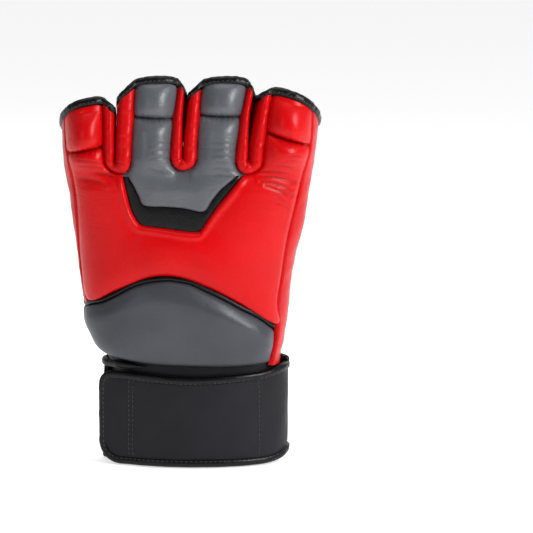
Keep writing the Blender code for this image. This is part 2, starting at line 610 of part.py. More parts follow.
for i, f in enumerate(FINGERS):
    par = f + "_knuckle"
    ts = steps(0, 345, 23)
    lv = {t: wall_levels(i, t, 4.0, 3) for t in ts}
    def tube(extra):
        return [[finger_pt(i, t, z, ring_depth(t, k / 3) + extra) for k, z in enumerate(lv[t])] for t in ts]
    shell(f + "_tube", tube(0.0), tube(1.2), "mesh", par, ring=True)
    rt = steps(0, 345, 23)
    def rim_ring(thick_out, inner):
        rows = []
        for t in rt:
            d = ring_depth(t, 1.0) + 1.6 if inner else -0.5
            rows.append([finger_pt(i, t, rim_z(i, t, 3.6), d), finger_pt(i, t, rim_z(i, t, 0.0), d + (-0.3 if inner else 0.3))])
        return rows
    shell(f + "_rim_binding", rim_ring(0, False), rim_ring(0, True), "black", par, ring=True)

    def pad_grid(z_lo, z_hi, d, bulge, nu=5, nv=3, inset=0.0):
        rows = []
        for a in range(nu + 1):
            row = []
            for b in range(nv + 1):
                u, v = a / nu, b / nv
                z = z_lo(-90) + (z_hi(-90) - z_lo(-90)) * v
                tl, tr = pad_t(i, "left", z) + inset, pad_t(i, "right", z) - inset
                t = tl + (tr - tl) * u
                z = z_lo(t) + (z_hi(t) - z_lo(t)) * v
                bl = bulge * (16 * u * (1 - u) * v * (1 - v)) ** 0.5
                row.append(finger_pt(i, t, z, d - bl))
            rows.append(row)
        return rows
    col = "grey" if f in ("ring", "middle") else "red"
    top_z = lambda t: rim_z(i, t, 4.0)
    cr_hi = lambda t: crease_z(i, t) + 0.25
    cr_lo = lambda t: crease_z(i, t) - 0.25
    base = lambda t: FINGER_BASE
    shell(f + "_lower_pad", pad_grid(base, cr_lo, 0.0, 1.0), pad_grid(base, cr_lo, LEATHER, 1.0), col, par)
    shell(f + "_upper_pad", pad_grid(cr_hi, top_z, 0.0, 1.4), pad_grid(cr_hi, top_z, LEATHER, 1.4), col, par)
    def foam_grid(inner):
        rows = []
        for a in range(5):
            row = []
            for b in range(6):
                u, v = a / 4, b / 5
                zb, zt = FINGER_BASE + 1.0, rim_z(i, -90, 4.6)
                z = zb + (zt - zb) * v
                tl, tr = pad_t(i, "left", z) + 5, pad_t(i, "right", z) - 5
                t = tl + (tr - tl) * u
                z = zb + (rim_z(i, t, 4.6) - zb) * v
                d = (ring_depth(t, v) - 0.6) if inner else 2.1
                if inner:
                    d = max(d, 2.1 + 0.7)
                row.append(finger_pt(i, t, z, d))
            rows.append(row)
        return rows
    shell(f + "_foam", foam_grid(False), foam_grid(True), "foam", par)

    for side in ("left", "right"):
        def flank(d):
            rows = []
            for a in range(5):
                row = []
                for b in range(5):
                    u, v = a / 4, b / 4
                    zt = rim_z(i, -60 if side == "right" else -120, 4.0)
                    z = FINGER_BASE + (zt - FINGER_BASE) * v
                    t0 = pad_t(i, side, z)
                    t0 += 1.6 if side == "right" else -1.6
                    t1 = 14.0 if side == "right" else -194.0
                    t = t0 + (t1 - t0) * u
                    z = FINGER_BASE + (rim_z(i, t, 4.0) - FINGER_BASE) * v
                    row.append(finger_pt(i, t, z, d))
                rows.append(row)
            return rows
        shell(f + "_" + side + "_fourchette", flank(0.1), flank(1.5), "red", par)

bpy.context.view_layer.update()
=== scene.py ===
import bpy, bmesh, math
import numpy as np
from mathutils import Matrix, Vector


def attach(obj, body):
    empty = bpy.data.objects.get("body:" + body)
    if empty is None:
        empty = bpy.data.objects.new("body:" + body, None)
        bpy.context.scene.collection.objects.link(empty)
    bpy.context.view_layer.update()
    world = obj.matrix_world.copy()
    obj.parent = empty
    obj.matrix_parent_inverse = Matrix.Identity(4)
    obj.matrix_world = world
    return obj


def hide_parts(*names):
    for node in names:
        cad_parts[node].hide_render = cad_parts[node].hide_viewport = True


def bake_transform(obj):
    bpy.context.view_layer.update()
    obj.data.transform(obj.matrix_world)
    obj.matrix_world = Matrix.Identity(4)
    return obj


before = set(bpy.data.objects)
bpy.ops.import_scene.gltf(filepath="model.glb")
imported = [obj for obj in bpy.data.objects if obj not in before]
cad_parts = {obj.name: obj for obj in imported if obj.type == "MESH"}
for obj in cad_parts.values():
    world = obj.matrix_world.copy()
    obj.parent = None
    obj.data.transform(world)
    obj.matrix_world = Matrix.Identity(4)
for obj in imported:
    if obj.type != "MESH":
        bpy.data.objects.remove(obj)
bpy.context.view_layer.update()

# ------------------------------------------------------------------ surfaces of the glove, in mm
SHIFT = np.array([0.09, -9.1, 0.0])
HINGE_Y, HINGE_Z = 4.0, 152.0
HAND_N, FINGER_N = 2.5, 2.25
CUFF_X, CUFF_A, CUFF_DORSAL, CUFF_PALM = 2.4, 48.3, 25.0, 23.0
SPLIT = 152.8            # height where the hand's panels meet the fingers' panels
SLIT_HALF = 0.06
HAND = np.array([
    (50, -43.5, 46.3, 25.0, 21.0), (57, -47.5, 47.0, 27.0, 21.5), (63, -50.2, 48.5, 28.5, 22.0),
    (73.5, -52.8, 50.2, 29.0, 22.0), (84, -55.6, 51.3, 29.0, 22.0), (99.5, -57.9, 53.0, 28.5, 21.5),
    (110, -58.9, 55.1, 28.0, 21.0), (120, -60.4, 57.9, 27.5, 20.5), (130.5, -61.7, 59.9, 27.0, 19.8),
    (141, -63.0, 61.5, 26.5, 18.8), (151, -64.8, 63.0, 26.0, 17.6), (161.5, -66.0, 64.8, 25.3, 16.6),
    (172, -66.3, 65.8, 24.4, 15.8), (180, -66.3, 66.3, 23.6, 15.2), (206, -66.3, 66.6, 21.0, 14.6)])
SEAM_L = np.array([(50, -44.0), (76, -51.6), (88, -53.8), (96, -56.0), (106, -57.2), (116.6, -58.0), (127, -58.4), (137, -58.9),
                   (145, -59.8), (152.4, -60.9), (160, -62.5), (166, -63.3), (176, -64.0), (188, -64.2), (206, -64.2)])
SEAM_R = np.array([(50, 41.8), (62, 44.1), (72.8, 45.5), (83, 45.2), (91, 45.8), (101, 47.7), (109, 48.7), (116.5, 49.9),
                   (121.8, 51.3), (131, 52.9), (137.3, 54.8), (142.5, 56.3), (152.4, 58.4), (158, 60.0), (165, 61.6),
                   (174, 62.4), (190, 62.8), (206, 62.8)])
ARCH = np.array([(-60, 80.0), (-52.6, 86.2), (-45.6, 88.6), (-38, 92.8), (-30, 97.2), (-22, 99.8), (-11.5, 101), (-4.8, 100.2),
                 (0.3, 99.2), (8, 95.6), (15.6, 91.9), (26, 86.0), (36, 80.3), (45.6, 73.0), (60, 64.0)])
FINGERS = ["little", "ring", "middle", "index"]
BOUND = [[(24, -38.2), (52, -37.0)], [(24, -3.8), (52, -0.2)], [(24, 29.4), (52, 36.7)]]
RIM = {"little": (192.5, 0.21, 0.46), "ring": (203.2, 0.07, 0.50), "middle": (203.2, 0.02, 0.50), "index": (196.5, -0.33, 0.48)}
CREASE = {"little": (165.6, 0.20), "ring": (181.8, -0.06), "middle": (182.6, -0.05), "index": (171.0, -0.33)}
PADC = {"little": (-0.80, -0.86, 0.66, 0.53), "ring": (-0.55, -0.51, 0.64, 0.74),
        "middle": (-0.59, -0.64, 0.63, 0.68), "index": (-0.60, -0.58, 0.77, 0.77)}
SLIT_Z = [160.0, 161.6, 160.0]     # where the two arms of each slit end and its rounded bottom begins
PALM_C = 0.60                      # edge of the mesh on a finger's palm side, as a fraction of the half width


def tab(rows, x, k=1):
    rows = np.asarray(rows, float)
    x = np.asarray(x, float)
    X, Y = rows[:, 0], rows[:, k]
    s = np.empty(len(X))
    s[0] = (Y[1] - Y[0]) / (X[1] - X[0]); s[-1] = (Y[-1] - Y[-2]) / (X[-1] - X[-2])
    s[1:-1] = (Y[2:] - Y[:-2]) / (X[2:] - X[:-2])
    xc = np.clip(x, X[0], X[-1])
    i = np.clip(np.searchsorted(X, xc, side="right") - 1, 0, len(X) - 2)
    h = X[i + 1] - X[i]
    u = (xc - X[i]) / h
    return ((2*u**3 - 3*u**2 + 1)*Y[i] + (u**3 - 2*u**2 + u)*h*s[i] + (-2*u**3 + 3*u**2)*Y[i+1] + (u**3 - u**2)*h*s[i+1])


def spow(v, p):
    return np.sign(v) * np.abs(v) ** p


def smooth(a, b, x):
    u = np.clip((np.asarray(x, float) - a) / (b - a), 0, 1)
    return u * u * (3 - 2 * u)


def hand_dims(z):
    xl, xr = tab(HAND, z, 1), tab(HAND, z, 2)
    return (xl + xr) / 2, (xr - xl) / 2, tab(HAND, z, 3), tab(HAND, z, 4)


def P3(x, y, z):
    x, y, z = np.broadcast_arrays(x, y, z)
    return np.stack([x, y, z], -1).astype(float)


def hand_pt(t, z, d=0.0):
    t, z, d = np.broadcast_arrays(np.asarray(t, float), np.asarray(z, float), np.asarray(d, float))
    xc, a, bd, bp = hand_dims(z)
    c, s = np.cos(np.radians(t)), np.sin(np.radians(t))
    b = np.where(s < 0, bd, bp) - d
    return P3(xc + (a - d) * spow(c, 2 / HAND_N), b * spow(s, 2 / HAND_N), z)


def hand_t(x, z, side=-1):
    xc, a, _, _ = hand_dims(z)
    c = np.clip((x - xc) / a, -1, 1)
    return side * np.degrees(np.arccos(spow(c, HAND_N / 2)))


def cuff_pt(t, z, d=0.0):
    c, s = np.cos(np.radians(t)), np.sin(np.radians(t))
    b = np.where(s < 0, CUFF_DORSAL, CUFF_PALM) - d
    return P3(CUFF_X + (CUFF_A - d) * c, b * s, z)


def lin(rows, r):
    (x0, y0), (x1, y1) = rows
    return y0 + (y1 - y0) * np.clip((r - x0) / (x1 - x0), 0, 1.25)


def yc_of(z):
    return 5.0 * (np.maximum(0, z - HINGE_Z) / 50) ** 2


def finger_lohi(i, y, z):
    r = np.hypot(y - HINGE_Y, z - HINGE_Z)
    lo = tab(HAND, z, 1) if i == 0 else lin(BOUND[i - 1], r) + SLIT_HALF
    hi = tab(HAND, z, 2) if i == 3 else lin(BOUND[i], r) - SLIT_HALF
    return lo, hi


def finger_pt(i, t, z, d=0.0):
    t, z, d = np.broadcast_arrays(np.asarray(t, float), np.asarray(z, float), np.asarray(d, float))
    _, _, bd, bp = hand_dims(z)
    c, s = np.cos(np.radians(t)), np.sin(np.radians(t))
    y = yc_of(z) + (np.where(s < 0, bd, bp) - d) * spow(s, 2 / FINGER_N)
    lo, hi = finger_lohi(i, y, z)
    return P3((lo + hi) / 2 + ((hi - lo) / 2 - d) * spow(c, 2 / FINGER_N), y, z)


def rim_z(i, t, drop=0.0):
    z0, kx, ky = RIM[FINGERS[i]]
    t = np.asarray(t, float)
    xm = finger_pt(i, -90, 190)[..., 0]
    z = np.full(t.shape, float(z0))
    for _ in range(8):
        p, q = finger_pt(i, t, z), finger_pt(i, np.full(t.shape, -90.0), z)
        z = z0 + kx * (p[..., 0] - xm) - ky * (p[..., 1] - q[..., 1])
    return z - drop


def crease_z(i, x):
    z0, kx = CREASE[FINGERS[i]]
    return z0 + kx * (x - finger_pt(i, -90, 180)[..., 0])


def front_y(x, z, d=0.0, side=-1):
    """Depth of the back (side -1) or palm (+1) at x, z: the hand's surface below, each finger's above, mixed at the knuckles."""
    x, z = np.broadcast_arrays(np.asarray(x, float), np.asarray(z, float))
    xc, a, bd, bp = hand_dims(z)
    b = (bd if side < 0 else bp)
    c = np.clip(np.abs((x - xc) / (a - d)), 0, 0.9995)
    yh = side * (b - d) * (1 - c ** HAND_N) ** (1 / HAND_N)
    wm = smooth(146, 168, z)
    yf = np.zeros_like(yh)
    for i in range(4):
        y = yc_of(z) + side * b
        for _ in range(5):
            lo, hi = finger_lohi(i, y, z)
            m, h = (lo + hi) / 2, (hi - lo) / 2
            lim_lo = 0.93 if i == 0 else 0.80
            lim_hi = 0.93 if i == 3 else 0.80
            cf = np.clip((x - m) / h, -lim_lo, lim_hi)
            y = yc_of(z) + side * (b - d) * (1 - np.abs(cf) ** FINGER_N) ** (1 / FINGER_N)
        lo_b = -1e9 if i == 0 else BOUND[i - 1][0][1]
        hi_b = 1e9 if i == 3 else BOUND[i][0][1]
        if i > 0:
            lo_b = lin(BOUND[i - 1], np.hypot(22, z - HINGE_Z))
        if i < 3:
            hi_b = lin(BOUND[i], np.hypot(22, z - HINGE_Z))
        yf = np.where((x >= lo_b) & (x < hi_b), y, yf)
    return yh * (1 - wm) + yf * wm


def front_pt(x, z, d=0.0, side=-1):
    return P3(x, front_y(x, z, d, side), z)


def pad_t(i, lr, z):
    row = PADC[FINGERS[i]]
    k = 0 if lr == 0 else 2
    c = row[k] + (row[k + 1] - row[k]) * np.clip((z - 155) / 40, 0, 1)
    return c


def edge_c_x(i, c, z, side):
    t = side * np.degrees(np.arccos(spow(c, FINGER_N / 2)))
    return finger_pt(i, t, z)[..., 0]


def edge_x(i, lr, z, side=-1):
    """x of finger i's left (0) or right (1) panel edge, following the rounded slit bottoms below the arms."""
    z = np.asarray(z, float)
    if side < 0:
        if i == 0 and lr == 0:
            return tab(SEAM_L, z)
        if i == 3 and lr == 1:
            return tab(SEAM_R, z)
        cfun = lambda j, l, zz: pad_t(j, l, zz)
    else:
        cfun = lambda j, l, zz: (PALM_C if l else -PALM_C) + 0 * zz
        if i == 0 and lr == 0:
            return edge_c_x(0, -0.80 + 0 * z, z, 1) * smooth(150, 165, z) + (tab(HAND, z, 1) * 0.955) * (1 - smooth(150, 165, z))
        if i == 3 and lr == 1:
            return edge_c_x(3, 0.84 + 0 * z, z, 1) * smooth(150, 165, z) + (tab(HAND, z, 2) * 0.965) * (1 - smooth(150, 165, z))
    k = i if lr == 1 else i - 1          # slit number
    zs = SLIT_Z[k]
    zz = np.maximum(z, zs)
    x_up = edge_c_x(i, cfun(i, lr, zz), zz, side)
    xa = edge_c_x(k, cfun(k, 1, np.array(zs)), np.array(zs), side)
    xb = edge_c_x(k + 1, cfun(k + 1, 0, np.array(zs)), np.array(zs), side)
    m, rho = (xa + xb) / 2, (xb - xa) / 2
    q = np.sqrt(np.maximum(rho ** 2 - np.maximum(zs - z, 0) ** 2, 0))
    return np.where(z >= zs, x_up, m - q if lr == 1 else m + q)


# ------------------------------------------------------------------ materials
def mat_new(name):
    m = bpy.data.materials.new(name)
    m.use_nodes = True
    nt = m.node_tree
    return m, nt, nt.nodes["Principled BSDF"]


def srgb(r, g, b):
    f = lambda v: (v / 255 / 12.92) if v / 255 <= 0.04045 else ((v / 255 + 0.055) / 1.055) ** 2.4
    return (f(r), f(g), f(b), 1)


def leather(name, dark, light, rough=0.38, grain=1.0, cell=900.0, coat=0.25, crease=0.25, rough_var=0.10, spec=0.5, tint=(1, 1, 1, 1), coat_rough=0.26, wrinkle=0.0):
    m, nt, b = mat_new(name)
    N, L = nt.nodes, nt.links
    tc = N.new("ShaderNodeTexCoord")
    vor = N.new("ShaderNodeTexVoronoi"); vor.feature = "SMOOTH_F1"; vor.inputs["Scale"].default_value = cell
    vor.inputs["Smoothness"].default_value = 0.6
    warp = N.new("ShaderNodeTexNoise"); warp.inputs["Scale"].default_value = cell * 0.45; warp.inputs["Detail"].default_value = 3
    mixv = N.new("ShaderNodeVectorMath"); mixv.operation = "MULTIPLY_ADD"
    mixv.inputs[1].default_value = (0.0011, 0.0011, 0.0011)
    L.new(tc.outputs["Object"], warp.inputs["Vector"])
    L.new(warp.outputs["Color"], mixv.inputs[0]); L.new(tc.outputs["Object"], mixv.inputs[2])
    L.new(mixv.outputs[0], vor.inputs["Vector"])
    fold = N.new("ShaderNodeTexNoise"); fold.inputs["Scale"].default_value = 95; fold.inputs["Detail"].default_value = 5
    fold.inputs["Roughness"].default_value = 0.62; fold.inputs["Distortion"].default_value = 0.6
    L.new(tc.outputs["Object"], fold.inputs["Vector"])
    big = N.new("ShaderNodeTexNoise"); big.inputs["Scale"].default_value = 28; big.inputs["Detail"].default_value = 2
    L.new(tc.outputs["Object"], big.inputs["Vector"])
    ramp = N.new("ShaderNodeValToRGB")
    ramp.color_ramp.elements[0].position = 0.30; ramp.color_ramp.elements[0].color = dark
    ramp.color_ramp.elements[1].position = 0.72; ramp.color_ramp.elements[1].color = light
    L.new(big.outputs["Fac"], ramp.inputs["Fac"])
    mixc = N.new("ShaderNodeMix"); mixc.data_type = "RGBA"; mixc.blend_type = "MULTIPLY"
    mixc.inputs[0].default_value = 0.30
    cr = N.new("ShaderNodeMapRange"); cr.inputs[1].default_value = 0.0; cr.inputs[2].default_value = 0.55
    cr.inputs[3].default_value = 1.0; cr.inputs[4].default_value = 0.72
    L.new(vor.outputs["Distance"], cr.inputs[0])
    L.new(ramp.outputs["Color"], mixc.inputs[6]); L.new(cr.outputs[0], mixc.inputs[7])
    at = N.new("ShaderNodeAttribute"); at.attribute_name = "crease_shade"
    shade = N.new("ShaderNodeMapRange"); shade.inputs[3].default_value = 1.0; shade.inputs[4].default_value = 0.42
    L.new(at.outputs["Fac"], shade.inputs[0])
    mixs = N.new("ShaderNodeMix"); mixs.data_type = "RGBA"; mixs.blend_type = "MULTIPLY"; mixs.inputs[0].default_value = 1.0
    L.new(mixc.outputs[2], mixs.inputs[6]); L.new(shade.outputs[0], mixs.inputs[7])
    L.new(mixs.outputs[2], b.inputs["Base Color"])
    rr = N.new("ShaderNodeMapRange"); rr.inputs[1].default_value = 0.3; rr.inputs[2].default_value = 0.7
    rr.inputs[3].default_value = rough - rough_var / 2; rr.inputs[4].default_value = rough + rough_var
    L.new(fold.outputs["Fac"], rr.inputs[0]); L.new(rr.outputs[0], b.inputs["Roughness"])
    bump1 = N.new("ShaderNodeBump"); bump1.inputs["Strength"].default_value = 0.22 * grain; bump1.inputs["Distance"].default_value = 0.0003
    bump1.invert = True
    L.new(vor.outputs["Distance"], bump1.inputs["Height"])
    bump2 = N.new("ShaderNodeBump"); bump2.inputs["Strength"].default_value = crease; bump2.inputs["Distance"].default_value = 0.0012
    L.new(fold.outputs["Fac"], bump2.inputs["Height"]); L.new(bump1.outputs[0], bump2.inputs["Normal"])
    rid = N.new("ShaderNodeTexNoise"); rid.noise_type = "RIDGED_MULTIFRACTAL"; rid.inputs["Scale"].default_value = 120
    rid.inputs["Detail"].default_value = 3; rid.inputs["Distortion"].default_value = 0.8
    L.new(tc.outputs["Object"], rid.inputs["Vector"])
    bump3 = N.new("ShaderNodeBump"); bump3.inputs["Strength"].default_value = crease * 0.42; bump3.inputs["Distance"].default_value = 0.0006
    bump3.invert = True
    L.new(rid.outputs["Fac"], bump3.inputs["Height"]); L.new(bump2.outputs[0], bump3.inputs["Normal"])
    L.new(bump3.outputs[0], b.inputs["Normal"])
    if wrinkle:
        # long fine wrinkles across the leather, gathered near the knuckles; their lines also darken the base colour as
        # painted shade
        mp = N.new("ShaderNodeMapping"); mp.inputs["Rotation"].default_value = (0, -0.22, 0); mp.inputs["Scale"].default_value = (70, 70, 520)
        L.new(tc.outputs["Object"], mp.inputs["Vector"])
        wr = N.new("ShaderNodeTexNoise"); wr.noise_type = "RIDGED_MULTIFRACTAL"; wr.inputs["Scale"].default_value = 1.0
        wr.inputs["Detail"].default_value = 3; wr.inputs["Distortion"].default_value = 1.1
        L.new(mp.outputs[0], wr.inputs["Vector"])
        sep = N.new("ShaderNodeSeparateXYZ"); L.new(tc.outputs["Object"], sep.inputs[0])
        up = N.new("ShaderNodeMapRange"); up.interpolation_type = "SMOOTHSTEP"
        up.inputs[1].default_value = 0.112; up.inputs[2].default_value = 0.150
        L.new(sep.outputs[2], up.inputs[0])
        dn = N.new("ShaderNodeMapRange"); dn.interpolation_type = "SMOOTHSTEP"
        dn.inputs[1].default_value = 0.166; dn.inputs[2].default_value = 0.184; dn.inputs[3].default_value = 1.0; dn.inputs[4].default_value = 0.25
        L.new(sep.outputs[2], dn.inputs[0])
        patch = N.new("ShaderNodeMapRange"); patch.inputs[1].default_value = 0.36; patch.inputs[2].default_value = 0.60; patch.inputs[3].default_value = 0.1
        L.new(big.outputs["Fac"], patch.inputs[0])
        h1 = N.new("ShaderNodeMath"); h1.operation = "MULTIPLY"; L.new(wr.outputs["Fac"], h1.inputs[0]); L.new(up.outputs[0], h1.inputs[1])
        h2 = N.new("ShaderNodeMath"); h2.operation = "MULTIPLY"; L.new(h1.outputs[0], h2.inputs[0]); L.new(dn.outputs[0], h2.inputs[1])
        h3 = N.new("ShaderNodeMath"); h3.operation = "MULTIPLY"; L.new(h2.outputs[0], h3.inputs[0]); L.new(patch.outputs[0], h3.inputs[1])
        # painted shade: the base colour darkens along the wrinkle lines
        wrinkle_shade = N.new("ShaderNodeMapRange"); wrinkle_shade.inputs[1].default_value = 0.15; wrinkle_shade.inputs[2].default_value = 1.1; wrinkle_shade.inputs[3].default_value = 1.0; wrinkle_shade.inputs[4].default_value = 0.62
        L.new(h3.outputs[0], wrinkle_shade.inputs[0])
        wrinkle_shade_mix = N.new("ShaderNodeMix"); wrinkle_shade_mix.data_type = "RGBA"; wrinkle_shade_mix.blend_type = "MULTIPLY"; wrinkle_shade_mix.inputs[0].default_value = 1.0
        L.new(mixs.outputs[2], wrinkle_shade_mix.inputs[6]); L.new(wrinkle_shade.outputs[0], wrinkle_shade_mix.inputs[7]); L.new(wrinkle_shade_mix.outputs[2], b.inputs["Base Color"])
        bump4 = N.new("ShaderNodeBump"); bump4.inputs["Strength"].default_value = wrinkle; bump4.inputs["Distance"].default_value = 0.0005
        bump4.invert = True
        L.new(h3.outputs[0], bump4.inputs["Height"]); L.new(bump3.outputs[0], bump4.inputs["Normal"])
        L.new(bump4.outputs[0], b.inputs["Normal"])
    b.inputs["Coat Weight"].default_value = coat
    b.inputs["Coat Roughness"].default_value = coat_rough
    b.inputs["Specular IOR Level"].default_value = spec
    b.inputs["Specular Tint"].default_value = tint
    return m


def mesh_fabric(name, base, hi, pitch=1.9e-3):
    """Knitted spacer mesh: rows of small dark holes staggered in a fine textile."""
    m, nt, b = mat_new(name)
    N, L = nt.nodes, nt.links
    tc = N.new("ShaderNodeTexCoord")
    sep = N.new("ShaderNodeSeparateXYZ"); L.new(tc.outputs["Object"], sep.inputs[0])

    def math_n(op, a, bb=None):
        n = N.new("ShaderNodeMath"); n.operation = op
        for k, v in ((0, a), (1, bb)):
            if v is None:
                continue
            if isinstance(v, (int, float)):
                n.inputs[k].default_value = v
            else:
                L.new(v, n.inputs[k])
        return n.outputs[0]
    kx, kz = math.pi / pitch, math.pi / (pitch * 0.75)
    sx = math_n("SINE", math_n("MULTIPLY", sep.outputs[0], kx))
    sz = math_n("SINE", math_n("MULTIPLY", sep.outputs[2], kz))
    prod = math_n("MULTIPLY", sx, sz)
    hole = math_n("ABSOLUTE", prod)
    mr = N.new("ShaderNodeMapRange"); mr.interpolation_type = "SMOOTHSTEP"
    mr.inputs[1].default_value = 0.42; mr.inputs[2].default_value = 0.78
    L.new(hole, mr.inputs[0])
    nz = N.new("ShaderNodeTexNoise"); nz.inputs["Scale"].default_value = 2400; nz.inputs["Detail"].default_value = 2
    L.new(tc.outputs["Object"], nz.inputs["Vector"])
    ramp = N.new("ShaderNodeMix"); ramp.data_type = "RGBA"
    L.new(mr.outputs[0], ramp.inputs[0]); ramp.inputs[6].default_value = hi; ramp.inputs[7].default_value = base
    fib = N.new("ShaderNodeMix"); fib.data_type = "RGBA"; fib.blend_type = "MULTIPLY"; fib.inputs[0].default_value = 0.5
    L.new(ramp.outputs[2], fib.inputs[6]); L.new(nz.outputs["Color"], fib.inputs[7])
    L.new(fib.outputs[2], b.inputs["Base Color"])
    b.inputs["Roughness"].default_value = 0.66
    b.inputs["Specular IOR Level"].default_value = 0.25
    b.inputs["Sheen Weight"].default_value = 0.12
    b.inputs["Sheen Roughness"].default_value = 0.4
    h = math_n("SUBTRACT", 1.0, mr.outputs[0])
    h2 = math_n("ADD", h, math_n("MULTIPLY", nz.outputs["Fac"], 0.25))
    bp = N.new("ShaderNodeBump"); bp.inputs["Strength"].default_value = 0.8; bp.inputs["Distance"].default_value = 0.0005
    L.new(h2, bp.inputs["Height"]); L.new(bp.outputs[0], b.inputs["Normal"])
    return m


def cloth_simple(name, col, col2, scale=1500.0, rough=0.9):
    m, nt, b = mat_new(name)
    N, L = nt.nodes, nt.links
    tc = N.new("ShaderNodeTexCoord")
    nz = N.new("ShaderNodeTexNoise"); nz.inputs["Scale"].default_value = scale; nz.inputs["Detail"].default_value = 3
    L.new(tc.outputs["Object"], nz.inputs["Vector"])
    r = N.new("ShaderNodeValToRGB")
    r.color_ramp.elements[0].position = 0.3; r.color_ramp.elements[0].color = col
    r.color_ramp.elements[1].position = 0.7; r.color_ramp.elements[1].color = col2
    L.new(nz.outputs["Fac"], r.inputs["Fac"]); L.new(r.outputs["Color"], b.inputs["Base Color"])
    bp = N.new("ShaderNodeBump"); bp.inputs["Strength"].default_value = 0.5; bp.inputs["Distance"].default_value = 0.0004
    L.new(nz.outputs["Fac"], bp.inputs["Height"]); L.new(bp.outputs[0], b.inputs["Normal"])
    b.inputs["Roughness"].default_value = rough
    b.inputs["Sheen Weight"].default_value = 0.3
    return m


M_RED = leather("red_leather", srgb(190, 2, 6), srgb(209, 3, 9), 0.40, 1.0, 950, 0.26, 0.26, spec=0.30, tint=(1, 0.14, 0.14, 1), coat_rough=0.28, wrinkle=0.8)
M_REDG = leather("red_leather_gusset", srgb(184, 2, 7), srgb(200, 4, 10), 0.42, 0.9, 1000, 0.12, 0.30, spec=0.30, tint=(1, 0.22, 0.22, 1), coat_rough=0.24)
M_GREY = leather("grey_leather", srgb(72, 75, 80), srgb(88, 91, 97), 0.37, 0.9, 1000, 0.24, 0.26, spec=0.38, coat_rough=0.28, wrinkle=0.8)
M_PAD = leather("grey_leather_wrist", srgb(56, 58, 64), srgb(68, 71, 77), 0.38, 0.9, 1000, 0.14, 0.24, spec=0.24)
M_SHEATH = leather("light_grey_leather", srgb(118, 123, 133), srgb(130, 135, 145), 0.42, 0.8, 1050, 0.05, 0.14, spec=0.34)
M_BLACK = leather("black_leather", srgb(6, 6, 8), srgb(13, 13, 15), 0.30, 0.9, 1050, 0.06, 0.25, spec=0.20, coat_rough=0.26)
M_STRAP = leather("strap_leather", srgb(22, 21, 26), srgb(28, 27, 33), 0.46, 0.8, 1150, 0.0, 0.16, spec=0.18)
M_MESH = mesh_fabric("black_mesh", srgb(5, 5, 6), srgb(34, 34, 38))
M_LINING = cloth_simple("lining", srgb(12, 12, 14), srgb(26, 26, 29))
M_HOOK = cloth_simple("hook_and_loop", srgb(18, 18, 20), srgb(52, 52, 56), 1900.0)
M_THREAD_B = cloth_simple("thread_black", srgb(11, 11, 13), srgb(32, 32, 36), 3000.0, 0.6)
M_THREAD_R = cloth_simple("thread_red", srgb(150, 10, 18), srgb(205, 24, 34), 3000.0, 0.6)
M_THREAD_G = cloth_simple("thread_grey", srgb(70, 72, 76), srgb(120, 122, 128), 3000.0, 0.6)

# ------------------------------------------------------------------ mesh builders
PIECES = {}


def new_obj(name, V, F, mat, smooth_all=True, sharp=None):
    """Object from points in mm and faces; faces are made to point out by their given order."""
    me = bpy.data.meshes.new(name)
    me.from_pydata(((np.asarray(V) + SHIFT) * 0.001).tolist(), [], [tuple(int(k) for k in f) for f in F])
    me.update()
    me.materials.append(mat)
    me.shade_smooth()
    if sharp:
        me.set_sharp_from_angle(angle=math.radians(sharp))
    ob = bpy.data.objects.new(name, me)
    bpy.context.scene.collection.objects.link(ob)
    PIECES[name] = ob
    return ob


def grid_faces(nu, nv, base=0, cu=False, cv=False, flip=False):
    i = np.arange(nu if cu else nu - 1); j = np.arange(nv if cv else nv - 1)
    I, J = np.meshgrid(i, j, indexing="ij")
    a = base + I * nv + J
    b = base + ((I + 1) % nu) * nv + J
    c = base + ((I + 1) % nu) * nv + (J + 1) % nv
    d = base + I * nv + (J + 1) % nv
    q = np.stack([a, b, c, d], -1).reshape(-1, 4)
    return q[:, ::-1] if flip else q


def outward(ob, centre_fn=None):
    bm = bmesh.new(); bm.from_mesh(ob.data)
    bmesh.ops.recalc_face_normals(bm, faces=bm.faces)
    bm.to_mesh(ob.data); bm.free()


